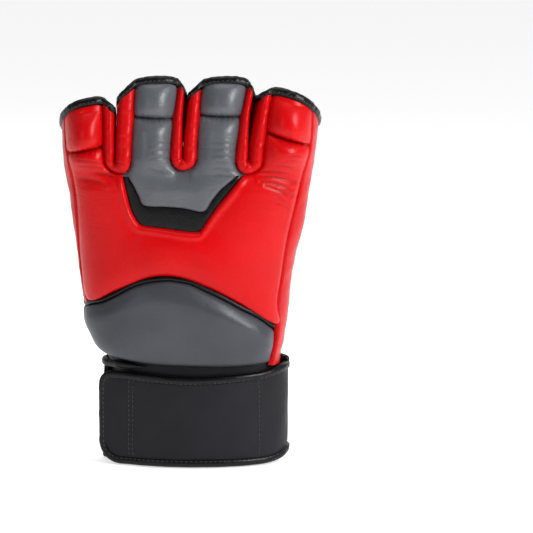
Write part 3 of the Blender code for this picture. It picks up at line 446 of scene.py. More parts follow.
def surf(name, P, mat, thick=0.0, cu=False, ref=None, flip=None, weld=False):
    """A skin from a grid of points P (nu, nv, 3). With thick it becomes a closed leather sheet, grown inwards.
    Its normals face away from ref, a point inside the glove."""
    nu, nv = P.shape[:2]
    V = P.reshape(-1, 3)
    F = grid_faces(nu, nv, 0, cu)
    ref = np.array([0.0, 0.0, 100.0]) if ref is None else np.asarray(ref, float)
    if flip is None:
        a, b, c, d = (V[F[:, k]] for k in range(4))
        n = np.cross(c - a, d - b)
        m = (a + b + c + d) / 4
        r = m - ref; r[:, 2] = 0 if abs(ref[2] - 100) < 1e-9 else r[:, 2]
        flip = (n * r).sum() < 0
    if flip:
        F = F[:, ::-1]
    if thick <= 0:
        return new_obj(name, V, F, mat)
    # vertex normals of the grid
    n = np.zeros_like(V)
    a, b, c, d = (V[F[:, k]] for k in range(4))
    fn = np.cross(c - a, d - b)
    for k in range(4):
        np.add.at(n, F[:, k], fn)
    n /= np.maximum(np.linalg.norm(n, axis=1, keepdims=True), 1e-9)
    W = V - n * thick
    N0 = len(V)
    faces = [tuple(f) for f in F] + [tuple(N0 + k for k in f[::-1]) for f in F]
    def wall(idx, closed):
        idx = list(idx)
        out = []
        m = len(idx)
        for k in range(m if closed else m - 1):
            p, q = idx[k], idx[(k + 1) % m]
            out.append((p, q, N0 + q, N0 + p))
        return out
    G = np.arange(nu * nv).reshape(nu, nv)
    if cu:
        rims = [wall(G[:, 0], True), wall(G[:, -1][::-1], True)]
    else:
        loop = list(G[:, 0]) + list(G[-1, 1:]) + list(G[-2::-1, -1]) + list(G[0, -2:0:-1])
        rims = [wall(loop, True)]
    for r in rims:
        faces += r
    ob = new_obj(name, np.vstack([V, W]), faces, mat)
    outward(ob)
    ob.data.set_sharp_from_angle(angle=math.radians(60))
    return ob


def roll(e, R, H):
    """Rounded edge: how deep a panel sinks at distance e from its edge."""
    q = np.clip(1 - e / R, 0, 1)
    return H * (1 - np.sqrt(np.clip(1 - q * q, 0, 1)))


def spaced(n, edge=0.05, k=4):
    """0..1 with extra rows near both ends."""
    mid = np.linspace(0, 1, n - 2 * k + 0)[1:-1]
    a = np.linspace(0, edge, k + 1)
    return np.unique(np.concatenate([a, edge + (1 - 2 * edge) * mid, 1 - a]))


def sweep(name, path, prof, mat, closed=False, normal=None, cap=True, twist=None):
    """Sweeps a closed 2-D profile (k, 2) along a path (n, 3); normal (n, 3) is the profile's first axis."""
    path = np.asarray(path, float)
    n = len(path)
    if closed:
        T = np.roll(path, -1, 0) - np.roll(path, 1, 0)
    else:
        T = np.gradient(path, axis=0)
    T /= np.linalg.norm(T, axis=1, keepdims=True)
    A = np.asarray(normal, float) - (np.asarray(normal) * T).sum(1, keepdims=True) * T
    A /= np.linalg.norm(A, axis=1, keepdims=True)
    B = np.cross(T, A)
    prof = np.asarray(prof, float)
    if prof.ndim == 2:
        prof = np.repeat(prof[None], n, 0)
    P = path[:, None, :] + A[:, None, :] * prof[:, :, 0:1] + B[:, None, :] * prof[:, :, 1:2]
    k = prof.shape[1]
    F = [tuple(f) for f in grid_faces(n, k, 0, closed, True)]
    V = P.reshape(-1, 3)
    if not closed and cap:
        F += [tuple(range(k)), tuple((n - 1) * k + j for j in reversed(range(k)))]
    ob = new_obj(name, V, F, mat)
    outward(ob)
    return ob


def circle(r, n=10, rx=None):
    a = np.linspace(0, 2 * math.pi, n, endpoint=False)
    return np.stack([(rx or r) * np.cos(a), r * np.sin(a)], 1)


def resample(path, step, closed=False):
    path = np.asarray(path, float)
    if closed:
        path = np.vstack([path, path[:1]])
    s = np.concatenate([[0], np.cumsum(np.linalg.norm(np.diff(path, axis=0), axis=1))])
    n = max(2, int(round(s[-1] / step)) + 1)
    q = np.linspace(0, s[-1], n)
    out = np.stack([np.interp(q, s, path[:, k]) for k in range(3)], 1)
    return out[:-1] if closed else out


def stitches(name, path, normals, mat, pitch=2.7, length=1.9, r=0.30, lift=0.12, closed=False):
    """A row of thread stitches lying on a surface: small tapered lozenges, one per stitch."""
    path = np.asarray(path, float); normals = np.asarray(normals, float)
    if closed:
        path = np.vstack([path, path[:1]]); normals = np.vstack([normals, normals[:1]])
    s = np.concatenate([[0], np.cumsum(np.linalg.norm(np.diff(path, axis=0), axis=1))])
    cnt = max(1, int(s[-1] // pitch))
    V, F = [], []
    for k in range(cnt):
        c = (k + 0.5) * s[-1] / cnt
        q = [np.array([np.interp(c + o, s, path[:, m]) for m in range(3)]) for o in (-length / 2, -length / 4, 0, length / 4, length / 2)]
        nn = np.array([np.interp(c, s, normals[:, m]) for m in range(3)]); nn /= np.linalg.norm(nn)
        tt = q[-1] - q[0]; tt /= np.linalg.norm(tt); bb = np.cross(tt, nn)
        base = len(V)
        for p, rr, up in zip(q, (0.25, 0.9, 1.0, 0.9, 0.25), (-0.25, 0.05, 0.12, 0.05, -0.25)):
            for a in range(6):
                w = 2 * math.pi * a / 6
                V.append(p + nn * (lift + up * r + rr * r * math.sin(w)) + bb * (rr * r * math.cos(w)))
        for m in range(4):
            for a in range(6):
                F.append((base + m * 6 + a, base + m * 6 + (a + 1) % 6, base + (m + 1) * 6 + (a + 1) % 6, base + (m + 1) * 6 + a))
        F.append(tuple(base + a for a in reversed(range(6)))); F.append(tuple(base + 24 + a for a in range(6)))
    ob = new_obj(name, np.array(V), F, mat)
    outward(ob)
    return ob


def normals_of(P):
    du = np.gradient(P, axis=0); dv = np.gradient(P, axis=1)
    n = np.cross(du, dv)
    return n / np.maximum(np.linalg.norm(n, axis=2, keepdims=True), 1e-9)


# ------------------------------------------------------------------ wrinkles of the back of the glove
FOLDS = [  # x0, z0, x1, z1, depth, half width: shallow creases pressed into the leather by bending
    (36.0, 155.0, 52.0, 152.5, 0.36, 0.80), (35.5, 152.6, 53.0, 148.6, 0.42, 0.85), (36.0, 150.0, 52.5, 144.6, 0.38, 0.80),
    (38.5, 147.6, 51.5, 141.0, 0.32, 0.80), (43.0, 157.8, 55.0, 155.4, 0.25, 0.75), (47.0, 150.6, 58.0, 146.4, 0.24, 0.75),
    (46.0, 145.2, 56.0, 139.4, 0.24, 0.80), (49.0, 160.6, 58.0, 158.8, 0.20, 0.75), (50.0, 163.0, 58.5, 161.6, 0.17, 0.75),
    (42.0, 143.4, 50.0, 137.4, 0.22, 0.85), (52.0, 142.5, 57.5, 137.0, 0.18, 0.75), (44.0, 139.0, 52.0, 133.0, 0.15, 0.85),
    (10.0, 169.5, 23.0, 168.6, 0.08, 0.75), (12.0, 166.4, 24.0, 165.0, 0.09, 0.75), (11.0, 163.0, 23.0, 161.8, 0.10, 0.75),
    (13.0, 160.0, 24.0, 158.2, 0.11, 0.80), (11.0, 157.0, 22.0, 155.2, 0.12, 0.80), (13.0, 153.6, 24.0, 151.0, 0.20, 0.80),
    (-20.0, 168.4, -8.0, 168.9, 0.12, 0.75), (-19.0, 165.2, -7.5, 165.0, 0.14, 0.75), (-20.0, 161.8, -8.0, 160.8, 0.14, 0.75),
    (-22.0, 156.5, -9.0, 153.0, 0.20, 0.90), (-58.0, 160.6, -44.0, 158.4, 0.20, 0.80), (-57.0, 157.6, -43.0, 155.9, 0.22, 0.80),
    (-50.0, 153.9, -38.0, 151.4, 0.42, 0.95), (-58.0, 150.5, -44.0, 148.0, 0.20, 1.10),
]


def fold_shade(x, z):
    """0 to 1: how far a point lies in the shade of a crease."""
    s = np.zeros(np.broadcast(x, z).shape)
    for x0, z0, x1, z1, dep, w in FOLDS:
        vx, vz = x1 - x0, z1 - z0
        u = np.clip(((x - x0) * vx + (z - z0) * vz) / (vx * vx + vz * vz), 0, 1)
        q = np.hypot(x - (x0 + u * vx), z - (z0 + u * vz) - 0.72 * np.sin(u * math.pi))
        s = np.maximum(s, min(1.0, 0.35 + dep * 1.5) * np.exp(-(q / (w * 0.75)) ** 2) * np.sin(np.clip(u, 0.02, 0.98) * math.pi) ** 0.6)
    return s


def shade_creases(ob, extra=None):
    co = np.empty(len(ob.data.vertices) * 3)
    ob.data.vertices.foreach_get("co", co)
    co = co.reshape(-1, 3) * 1000 - np.array(SHIFT)
    s = fold_shade(co[:, 0], co[:, 2])
    if extra is not None:
        s = np.maximum(s, extra(co[:, 0], co[:, 2]))
    at = ob.data.attributes.new("crease_shade", "FLOAT", "POINT")
    at.data.foreach_set("value", s.astype(np.float32))


def folds(x, z):
    d = np.zeros(np.broadcast(x, z).shape)
    for x0, z0, x1, z1, dep, w in FOLDS:
        vx, vz = x1 - x0, z1 - z0
        L2 = vx * vx + vz * vz
        u = np.clip(((x - x0) * vx + (z - z0) * vz) / L2, 0, 1)
        q = np.hypot(x - (x0 + u * vx) , z - (z0 + u * vz) - 0.9 * np.sin(u * math.pi) * 0.8)
        d += dep * np.exp(-(q / w) ** 2) * np.sin(np.clip(u, 0.04, 0.96) * math.pi) ** 0.5
        d -= 0.35 * dep * np.exp(-((q - 1.9 * w) / w) ** 2)
    rng = np.random.RandomState(3)
    for _ in range(26):       # slow unevenness of padded leather
        fx, fz, ph, am = rng.uniform(0.03, 0.16), rng.uniform(0.03, 0.16), rng.uniform(0, 6.28), rng.uniform(0.02, 0.075)
        d += am * np.sin(fx * x + fz * z * rng.choice([-1, 1]) + ph)
    return d


# ------------------------------------------------------------------ back of the hand
VEE_IN = [(-31.6, 153.2), (-30.2, 150.0), (-28.8, 147.9), (-26.2, 142.6), (-23.2, 137.5), (-13.0, 136.8), (-3.0, 136.0), (6.9, 134.4),
          (11.3, 140.0), (15.6, 145.3), (19.5, 148.6), (25.2, 153.2)]
VEE_OUT = [(-34.4, 153.2), (-33.2, 147.5), (-31.6, 141.0), (-29.4, 133.9), (-24.7, 127.4), (-16.0, 126.1), (-7.0, 124.9), (4.0, 124.1),
           (8.6, 129.5), (13.4, 136.2), (19.6, 143.8), (27.6, 153.2)]
BACK_IN = [(-34.4, SPLIT), (-32.3, 144.0), (-30.4, 136.5), (-28.0, 131.0), (-24.7, 127.4), (-18.0, 126.4), (-10.0, 125.4),
           (-3.0, 124.4), (4.0, 124.1), (6.4, 126.2), (9.5, 130.8), (11.5, 133.6), (13.4, 136.2), (17.5, 141.2), (22.0, 146.6), (27.2, SPLIT)]
sl = lambda z: float(tab(SEAM_L, z)); sr = lambda z: float(tab(SEAM_R, z)); ar = lambda x: float(tab(ARCH, x))
BACK_OUT = [(sl(SPLIT), SPLIT), (sl(138), 138), (sl(121), 121), (sl(104), 104), (-53.4, 86.0),
            (-38.0, ar(-38)), (-22.0, ar(-22)), (-8.0, ar(-8)), (8.0, ar(8)), (26.0, ar(26)), (45.4, 73.4),
            (sr(85), 85), (sr(99), 99), (sr(117), 117), (sr(136), 136), (sr(SPLIT), SPLIT)]


def fine(pts, sub):
    q = np.linspace(0, len(pts) - 1, (len(pts) - 1) * sub + 1)
    rows = np.array([(k, p[0], p[1]) for k, p in enumerate(pts)], float)
    return np.stack([tab(rows, q, 1), tab(rows, q, 2)], 1)


def strip(A, B, nu, roll_in, roll_out, bulge, base=0.0, off_in=0.0):
    """Grid across a strip between two outlines. Both long edges roll down into their seams."""
    u = np.unique(np.concatenate([np.linspace(0, 1, nu), np.linspace(0, .06, 6), 1 - np.linspace(0, .06, 6)]))
    W = np.linalg.norm(B - A, axis=1)[:, None]
    X = A[:, None, 0] + (B - A)[:, None, 0] * u[None]
    Z = A[:, None, 1] + (B - A)[:, None, 1] * u[None]
    e0, e1 = u[None] * W, (1 - u[None]) * W
    d = roll(e0, *roll_in) + roll(e1, *roll_out) - bulge * (1 - np.abs(2 * u[None] - 1) ** 3.0) + base
    return X, Z, d


SKEW = [2.0, -0.5, -1.4]


def slit_geo(k, side):
    """Height where the arms of slit k end, its centre and half width there."""
    zs = SLIT_Z[k] if side < 0 else 160.5
    if side < 0:
        xa = float(edge_c_x(k, pad_t(k, 1, np.array(zs)), np.array(zs), side))
        xb = float(edge_c_x(k + 1, pad_t(k + 1, 0, np.array(zs)), np.array(zs), side))
    else:
        xa = float(edge_c_x(k, np.array(PALM_C), np.array(zs), side))
        xb = float(edge_c_x(k + 1, np.array(-PALM_C), np.array(zs), side))
    return zs, (xa + xb) / 2, (xb - xa) / 2


def slit_dist(k, X, Z):
    """Distance outside the rounded bottom of slit k."""
    zs, m, rho = slit_geo(k, -1)
    down = np.clip((zs - Z) / rho, 0, 1)
    return np.hypot(X - m - SKEW[k] * (1 - np.sqrt(np.maximum(1 - down ** 2, 0))), np.minimum(Z - zs, 0)) - rho


def slit_roll(X, Z):
    d = 0
    for k in range(3):
        d = np.maximum(d, np.where(Z < SLIT_Z[k], roll(np.maximum(slit_dist(k, X, Z), 0), 2.4, 2.2), 0))
    return d


fade = lambda Z: smooth(SPLIT, SPLIT - 9, Z)

# red back panel, a padded U round the inlay, its inner edge a raised lip
A, B = fine(BACK_IN, 24), fine(BACK_OUT, 24)
X, Z, D = strip(A, B, 84, (1.6, 2.0), (2.6, 2.6), 0.0)
ub = np.linalg.norm(np.stack([X - X[:, :1], Z - Z[:, :1]], -1), axis=-1) / np.maximum(np.linalg.norm(np.stack([X[:, -1:] - X[:, :1], Z[:, -1:] - Z[:, :1]], -1), axis=-1), 1e-6)
D = D - 2.0 * (1 - np.abs(2 * ub - 1) ** 3.0) * fade(Z) + slit_roll(X, Z)
dist_in = np.hypot(X - X[:, :1], Z - Z[:, :1])
D = D - 0.9 * np.exp(-((dist_in - 2.0) / 1.7) ** 2) * smooth(SPLIT, SPLIT - 4, Z) + folds(X, Z)
back_red = surf("hand_back_panel_skin", front_pt(X, Z, D), M_RED, 1.3)
shade_creases(back_red)

# black inlay and grey centre panel
A, B = fine(VEE_IN, 20), fine(VEE_OUT, 20)
X, Z, D = strip(A, B, 14, (0.7, 0.5), (0.6, 0.3), 0.25, 1.5)
surf("vee_inlay_skin", front_pt(X, np.minimum(Z, SPLIT + 0.4), D), M_BLACK, 0.8)
top_n = len(VEE_IN)
Ain = fine(VEE_IN, 20)
keep = Ain[:, 1] <= SPLIT
Ain = np.vstack([[-31.5, SPLIT], Ain[keep], [24.9, SPLIT]])
sB = np.linspace(0, 1, len(Ain))
B = np.stack([-31.5 + 56.4 * sB, np.full(len(Ain), SPLIT)], 1)
vtab = np.linspace(0, 1, 42)
vtab = np.unique(np.concatenate([vtab, np.linspace(0, 0.08, 6)]))
X = Ain[:, None, 0] + (B - Ain)[:, None, 0] * vtab[None]
Z = Ain[:, None, 1] + (B - Ain)[:, None, 1] * vtab[None]


def dist_to(path, X, Z):
    best = np.full(X.shape, 1e9)
    for k in range(len(path) - 1):
        ax, az = path[k]; bx, bz = path[k + 1]
        vx, vz = bx - ax, bz - az
        L2 = vx * vx + vz * vz + 1e-12
        t = np.clip(((X - ax) * vx + (Z - az) * vz) / L2, 0, 1)
        best = np.minimum(best, np.hypot(X - ax - t * vx, Z - az - t * vz))
    return best


VIN = fine(VEE_IN, 6)
e = dist_to(VIN, X, Z)
D = roll(e, 2.4, 1.5) - 0.9 * smooth(0, 10, e) * fade(Z) + folds(X, Z) + slit_roll(X, Z)
centre = surf("knuckle_centre_skin", front_pt(X, Z, D), M_GREY, 1.3)
shade_creases(centre)

# ------------------------------------------------------------------ pads of the fingers
def edge2(i, lr, z, side=-1):
    z = np.asarray(z, float)
    if i == 0 and lr == 0:
        return tab(SEAM_L, z) if side < 0 else palm_edge(0, z)
    if i == 3 and lr == 1:
        return tab(SEAM_R, z) if side < 0 else palm_edge(1, z)
    k = i if lr == 1 else i - 1
    zs, m, rho = slit_geo(k, side)
    zz = np.maximum(z, zs)
    if side < 0:
        c = pad_t(i, lr, zz)
    else:
        c = (PALM_C if lr else -PALM_C) + 0 * zz
    x_up = edge_c_x(i, c, zz, side)
    q = np.sqrt(np.maximum(1 - (np.maximum(zs - z, 0) / rho) ** 2, 0))
    sk = (SKEW[k] if side < 0 else 0) * (1 - q)
    return np.where(z >= zs, x_up, m + sk + (-rho * q if lr == 1 else rho * q))


def palm_edge(lr, z):
    """x where the palm's mesh meets the red side walls."""
    z = np.asarray(z, float)
    if lr == 0:
        xh = tab(HAND, z, 1) * 0.0 + tab(HAND, z, 1) + 3.4
        xf = edge_c_x(0, -0.84 + 0 * z, z, 1)
    else:
        xh = tab(HAND, z, 2) - 2.4
        xf = edge_c_x(3, 0.86 + 0 * z, z, 1)
    w = smooth(146, 168, z)
    return xh * (1 - w) + xf * w


def rim_at_x(i, x, side=-1, drop=0.0):
    z = np.full(np.shape(x), RIM[FINGERS[i]][0], float)
    for _ in range(8):
        y = front_y(x, z, 0.0, side)
        y0 = front_y(np.array(float(finger_pt(i, -90, 190)[0])), np.array(RIM[FINGERS[i]][0]), 0.0, -1)
        z = RIM[FINGERS[i]][0] + RIM[FINGERS[i]][1] * (x - float(finger_pt(i, -90, 190)[0])) - RIM[FINGERS[i]][2] * (y - y0)
    return z - drop


def finger_skin(i, side, z_top_drop, nu, nv):
    """Grid over one face of a finger between its edges, from the knuckle split to under the rim binding."""
    u = np.unique(np.concatenate([np.linspace(0, 1, nu), np.linspace(0, .10, 7), 1 - np.linspace(0, .10, 7)]))
    v = np.linspace(0, 1, nv) ** 0.93
    U, Vv = np.meshgrid(u, v, indexing="ij")
    Z = SPLIT + Vv * (RIM[FINGERS[i]][0] - 4 - SPLIT)
    for _ in range(7):
        L, R = edge2(i, 0, Z, side), edge2(i, 1, Z, side)
        X = L + (R - L) * U
        top = rim_at_x(i, X[:, -1], side, z_top_drop)
        Z = SPLIT + Vv * (top[:, None] - SPLIT)
    L, R = edge2(i, 0, Z, side), edge2(i, 1, Z, side)
    X = L + (R - L) * U
    return X, Z, L, R, U, Vv


FOLDERS = []
for i, f in enumerate(FINGERS):
    X, Z, L, R, U, Vv = finger_skin(i, -1, 3.0, 44, 96)
    eL, eR = X - L, R - X
    eL = np.where(Z < SLIT_Z[i - 1], 9.0, eL) if i > 0 else eL
    eR = np.where(Z < SLIT_Z[i], 9.0, eR) if i < 3 else eR
    near = slit_roll(X, Z)
    dep = np.maximum(roll(eL, 2.4 if i else 2.6, 2.2 if i else 2.6), roll(eR, 2.4 if i < 3 else 2.6, 2.2 if i < 3 else 2.6))
    dep = np.maximum(dep, near)
    eL, eR = np.minimum(X - L, 9), np.minimum(R - X, 9)
    width = (R - L)
    cz = crease_z(i, X)
    s = Z - cz
    puff_lo = smooth(0, 9, -s) * 0.6
    body = np.where(s > 0, 1.5 * np.sqrt(np.clip(1 - ((s - 9.5) / 11.5) ** 2, 0, 1)) * (s < 22), 0.0)
    hi_u = 1 - np.abs(2 * U - 1) ** 2.3
    puff = np.where(s > 0, 3.6 * np.clip(1 - np.abs((s - 8.5) / 10.5) ** 2.2, 0, 1), 1.7 * smooth(0, 8, -s) * smooth(SPLIT, SPLIT + 10, Z)) * hi_u
    pucker = 0.20 * np.exp(-(np.abs(s) / 2.3) ** 2) * np.cos(2 * np.pi * X / 2.7 + 0.8 * np.sin(X * 0.9)) * smooth(0, 3, eL) * smooth(0, 3, eR)
    crease = 1.9 * np.exp(-(np.abs(s) / 0.9) ** 1.5) + 1.3 * np.exp(-(np.abs(s) / 3.0) ** 2)
    near_rim = 0.9 * smooth(6.5, 2.6, (rim_at_x(i, X, -1, 0.0) - Z))
    D = dep - puff + crease * smooth(0, 1.0, eL + 0.4) + pucker + near_rim + folds(X, Z)
    ob = surf(f + "_pad_skin", front_pt(X, Z, D), M_GREY if i in (1, 2) else M_RED, 1.8)
    shade_creases(ob, lambda x, z, i=i: 0.95 * np.exp(-((z - crease_z(i, x)) / 0.85) ** 2))
    FOLDERS.append((ob, f))

# ------------------------------------------------------------------ side walls of the fingers, one trough per slit
def ang(c, side):
    return side * np.degrees(np.arccos(spow(np.clip(c, -1, 1), FINGER_N / 2)))


def wall_pts(i, lr, P, Z, d):
    """Points on finger i's right (1) or left (0) wall: P 0 at the back pad's edge, 1 at the palm mesh's edge."""
    zc = np.maximum(Z, 152.0)
    if lr:
        t0, t1 = ang(pad_t(i, 1, zc), -1), ang(PALM_C + 0 * zc, 1)
    else:
        t0, t1 = ang(pad_t(i, 0, zc), -1), ang(-PALM_C + 0 * zc, 1) - 360
    return finger_pt(i, t0 + (t1 - t0) * P, zc, d), t0 + (t1 - t0) * P


ROLL_F = 0.6
# how far each rolled edge keeps off the slit's middle at the rim, mm
GAPS = {(0, 1): 0.5, (1, 0): 0.4, (1, 1): 1.3, (2, 0): 1.0, (2, 1): 2.2, (3, 0): 1.2}


def roll_y(th):
    """Front of a rolled slit edge: out of the seam's groove, over the top and down into the slit."""
    return np.where(th < math.pi / 2, -2.5 * np.sin(th), -2.5 + 5.4 * (1 - np.sin(th)))


def finger_vis(i, t, z, d=0.0):
    """Finger section as it shows: the slit edges stand forward as rolls before they turn down into the slit."""
    t, z, d = np.broadcast_arrays(np.asarray(t, float), np.asarray(z, float), np.asarray(d, float))
    t = (t + 180) % 360 - 180
    B = finger_pt(i, t, z, d)
    for lr in (0, 1):
        if (lr == 0 and i == 0) or (lr == 1 and i == 3):
            continue
        t0 = ang(pad_t(i, lr, z), -1)
        tm = 0.0 if lr else -180.0
        F = (t - t0) / (tm - t0)
        E = finger_pt(i, t0, z, d)
        M = finger_pt(i, np.full(t.shape, tm), z, d)
        k = i if lr else i - 1
        th = math.pi * np.clip(F / ROLL_F, 0, 1)
        ye = E[..., 1] + roll_y(th)
        cx = lin(BOUND[k], np.hypot(ye - HINGE_Y, z - HINGE_Z)) + (-1 if lr else 1) * (0.03 + np.maximum(d, 0))
        s = (1 - np.cos(th)) / 2
        w = np.clip((F - ROLL_F) / (1 - ROLL_F), 0, 1)
        cx = cx + (-1 if lr else 1) * GAPS[(i, lr)] * smooth(163, 188, z) * (1 - smooth(0.0, 0.75, w))
        cx = cx + 0.35 * np.sin(math.pi * w)
        x = E[..., 0] + (cx - E[..., 0]) * s
        y = ye + (M[..., 1] - ye) * w
        x = np.where(w > 0, cx + (M[..., 0] - cx) * w, x)
        m = (F > 0) & (F < 1)
        B[..., 0] = np.where(m, x, B[..., 0])
        B[..., 1] = np.where(m, y, B[..., 1])
    return B


FALL = {(0, 1): 3.0, (1, 0): 4.6, (1, 1): 2.4, (2, 0): 2.6, (2, 1): 2.8, (3, 0): 1.6}


def rim_fall(i, t):
    """How far the rim bends down where the leather turns over into a slit."""
    out = np.zeros(np.shape(t))
    for lr in (0, 1):
        if (i, lr) not in FALL:
            continue
        t0 = float(ang(pad_t(i, lr, np.array(RIM[FINGERS[i]][0] - 6.0)), -1))
        tm = 0.0 if lr else -180.0
        F = (t - t0) / (tm - t0)
        front = smooth(0.08, 0.62, F) * (t < 0)
        if lr:
            t1 = float(ang(np.array(PALM_C), 1)); palm = (1 - smooth(0, t1, t)) * (t >= 0)
        else:
            t1 = float(ang(np.array(-PALM_C), 1)); palm = smooth(t1, 180, t) * (t >= 0)
        out = out + FALL[(i, lr)] * (front + palm)
    return out


def rim_vis(i, t, drop=0.0):
    """Height of the rim: it falls away into the slits."""
    t = (np.asarray(t, float) + 180) % 360 - 180
    return rim_z(i, t, drop) - rim_fall(i, t)


def trough(k):
    """Both walls of slit k joined under it by a rounded web."""
    P = np.unique(np.concatenate([np.linspace(0, 0.3, 26), np.linspace(0.3, 1, 30), np.linspace(0, .04, 5), 1 - np.linspace(0, .06, 5)]))
    n_arm, n_bot = 46, 15
    halves = []
    zs_b, m_b, rho_b = slit_geo(k, -1)
    zs_p, m_p, rho_p = slit_geo(k, 1)
    i_m = int(np.argmin(np.abs(P - 0.5)))
    PP = P[:, None]
    zs = zs_b + (zs_p - zs_b) * smooth(0.5, 1, PP)
    groove = roll(PP * 46, 1.5, 1.5)
    for j, lr in ((k, 1), (k + 1, 0)):
        _, T = wall_pts(j, lr, PP, zs, 0)
        top = rim_vis(j, T, 3.0)
        arm = np.linspace(0, 1, n_arm)[None]
        Z = zs + (top - zs) * (1 - arm)
        _, TZ = wall_pts(j, lr, PP + 0 * Z, Z, 0)
        A_ = finger_vis(j, TZ, Z, groove * (PP < 0.5) + 0 * Z)
        puffs = 0.20 * np.sin(Z * 0.45 + 2 * j + lr) + 0.10 * np.sin(Z * 1.1 + j) + 0.10 * np.sin(Z * 1.9 + 5 * PP + 3 * lr) * np.sin(Z * 0.33 + j)
        A_[..., 1] += puffs * np.sin(math.pi * np.clip(PP / 0.3, 0, 1)) * smooth(0, 5, top - Z)
        # rounded bottom
        a = np.linspace(0, math.pi / 2, n_bot)[None, 1:]
        s = -1 if lr else 1
        W1 = finger_vis(k, wall_pts(k, 1, PP, zs, 0)[1], zs, 0)[:, 0]
        W2 = finger_vis(k + 1, wall_pts(k + 1, 0, PP, zs, 0)[1], zs, 0)[:, 0]
        mid = (W1 + W2) / 2
        rho = (W2[:, 0] - W1[:, 0]) / 2
        skew = SKEW[k] * (1 - np.cos(a)) * (rho[:, None] / rho[0]) * (PP < 0.5)
        Xb = mid[:, None, 0] + s * rho[:, None] * np.cos(a) + skew
        Zb = zs - rho[:, None] * np.sin(a)
        # depth: the pad's surface at the outer edge of the bottom, rolling in like the arms
        xe = m_b + s * rho_b * np.cos(a) + SKEW[k] * (1 - np.cos(a)); ze = zs_b - rho_b * np.sin(a)
        y_edge = front_y(xe, ze, 0, -1)[0] + 0.0
        y_arm0 = A_[0, -1, 1] - 1.5
        yb = W1[:, 1][:, None] * 0.5 + W2[:, 1][:, None] * 0.5
        own = (W1 if lr else W2)[:, 1][:, None]
        yb = own + (yb - own) * np.sin(a)
        yb = yb + (y_edge[None] - yb[0][None]) * (1 - smooth(0.22, 0.5, PP)) + groove * (PP < 0.5)
        Bt = P3(Xb, yb, Zb)
        G = np.concatenate([A_, Bt], 1)
        want = front_y(G[0, :n_arm, 0], G[0, :n_arm, 2], 0, -1) + 1.5
        G[:, :n_arm, 1] += (1 - smooth(0.2, 0.5, P))[:, None] * (want - G[0, :n_arm, 1])[None]
        edge = G[-1]
        want = front_y(edge[:, 0], edge[:, 2], 0, 1) - 0.2
        G[:, :, 1] += (P ** 3)[:, None] * (want - edge[:, 1])[None]
        halves.append((j, lr, G))
    return halves


for k in range(3):
    for j, lr, G in trough(k):
        f = FINGERS[j]
        # the wall faces away from its own finger
        c = finger_pt(j, 0, 175) * 0.5 + finger_pt(j, 180, 175) * 0.5
        ob = surf(f + ("_right" if lr else "_left") + "_fourchette_skin", G, M_REDG, 0.7, ref=c, flip=None)
        FOLDERS.append((ob, f))

def arch_t(t, extra=0.0):
    z = np.full(np.shape(t), 95.0)
    for _ in range(8):
        z = tab(ARCH, hand_pt(t, z)[..., 0])
    return z + extra


def side_bound(t):
    """Height of the seam above the wrist pad; it runs level round the little finger's side of the hand."""
    return arch_t(np.maximum(t, -168.0))


# outer side walls: the little finger's left, the index finger's right, and the hand's sides below
def side_wall(lr, Z, P, d):
    i = 3 if lr else 0
    xs = tab(SEAM_R if lr else SEAM_L, Z)
    xp = palm_edge(lr, Z)
    th0, th1 = hand_t(xs, Z, -1), hand_t(xp, Z, 1)
    lo, hi = finger_lohi(i, 0.0, Z)
    cf = lambda x: np.clip((x - (lo + hi) / 2) / ((hi - lo) / 2), -0.999, 0.999)
    zc = np.maximum(Z, 152)
    if lr:
        tf0, tf1 = ang(cf(xs), -1), ang(cf(xp), 1)
    else:
        th1 = th1 - 360
        tf0, tf1 = ang(cf(xs), -1), ang(cf(xp), 1) - 360
    H = hand_pt(th0 + (th1 - th0) * P, Z, d)
    Fg = finger_pt(i, tf0 + (tf1 - tf0) * P, Z, d)
    w = smooth(146, 168, Z)[..., None]
    G = H * (1 - w) + Fg * w
    G[..., 2] = Z
    return G, tf0 + (tf1 - tf0) * P


for lr, f, i in ((0, "little", 0), (1, "index", 3)):
    P = np.unique(np.concatenate([np.linspace(0, 1, 40), np.linspace(0, .08, 7), 1 - np.linspace(0, .05, 4)]))
    for part in ("hand", "finger"):
        if part == "hand":
            zlo = 52.0 + 0 * P[:, None]
            if lr == 0:
                for _ in range(6):
                    a0 = hand_t(tab(SEAM_L, zlo), zlo, -1); a1 = hand_t(palm_edge(0, zlo), zlo, 1) - 360
                    zlo = side_bound(a0 + (a1 - a0) * P[:, None]) - 0.9
            z = zlo + (SPLIT - zlo) * np.linspace(0, 1, 110)[None]
        else:
            v = np.linspace(0, 1, 60)[None]
            z = SPLIT + v * (190 - SPLIT) + 0 * P[:, None]
            for _ in range(5):
                _, T = side_wall(lr, z, P[:, None], 0)
                top = rim_z(i, T[:, -1], 3.0)
                z = SPLIT + v * (top[:, None] - SPLIT)
        PP = P[:, None] + 0 * z
        wav = 0.10 * np.sin(z * 0.27 + 3 * PP) * np.sin(math.pi * PP) + 0.06 * np.sin(z * 0.61 - 5 * PP)
        d = roll(PP * 34, 2.4, 2.4) + 0.3 * np.sin(math.pi * np.clip(PP, 0, 1)) + wav * smooth(0.02, 0.2, PP)
        G, _ = side_wall(lr, z, PP, d)
        ob = surf(("little" if lr == 0 else "thumb") + "_side_" + part + "_skin", G, M_REDG, 1.2, ref=[0, 0, 100])
        if part == "finger":
            FOLDERS.append((ob, f))

# ------------------------------------------------------------------ rim bindings and the tubes' linings
def inner_depth(t, v):
    s = np.sin(np.radians(t))
    side = 2.2 * (1 - smooth(0.30, 0.62, s))
    back = 6.2 * smooth(0.45, 0.85, -s) * (1 - 0.72 * smooth(0.62, 1.0, v))
    return side + back + 1.3


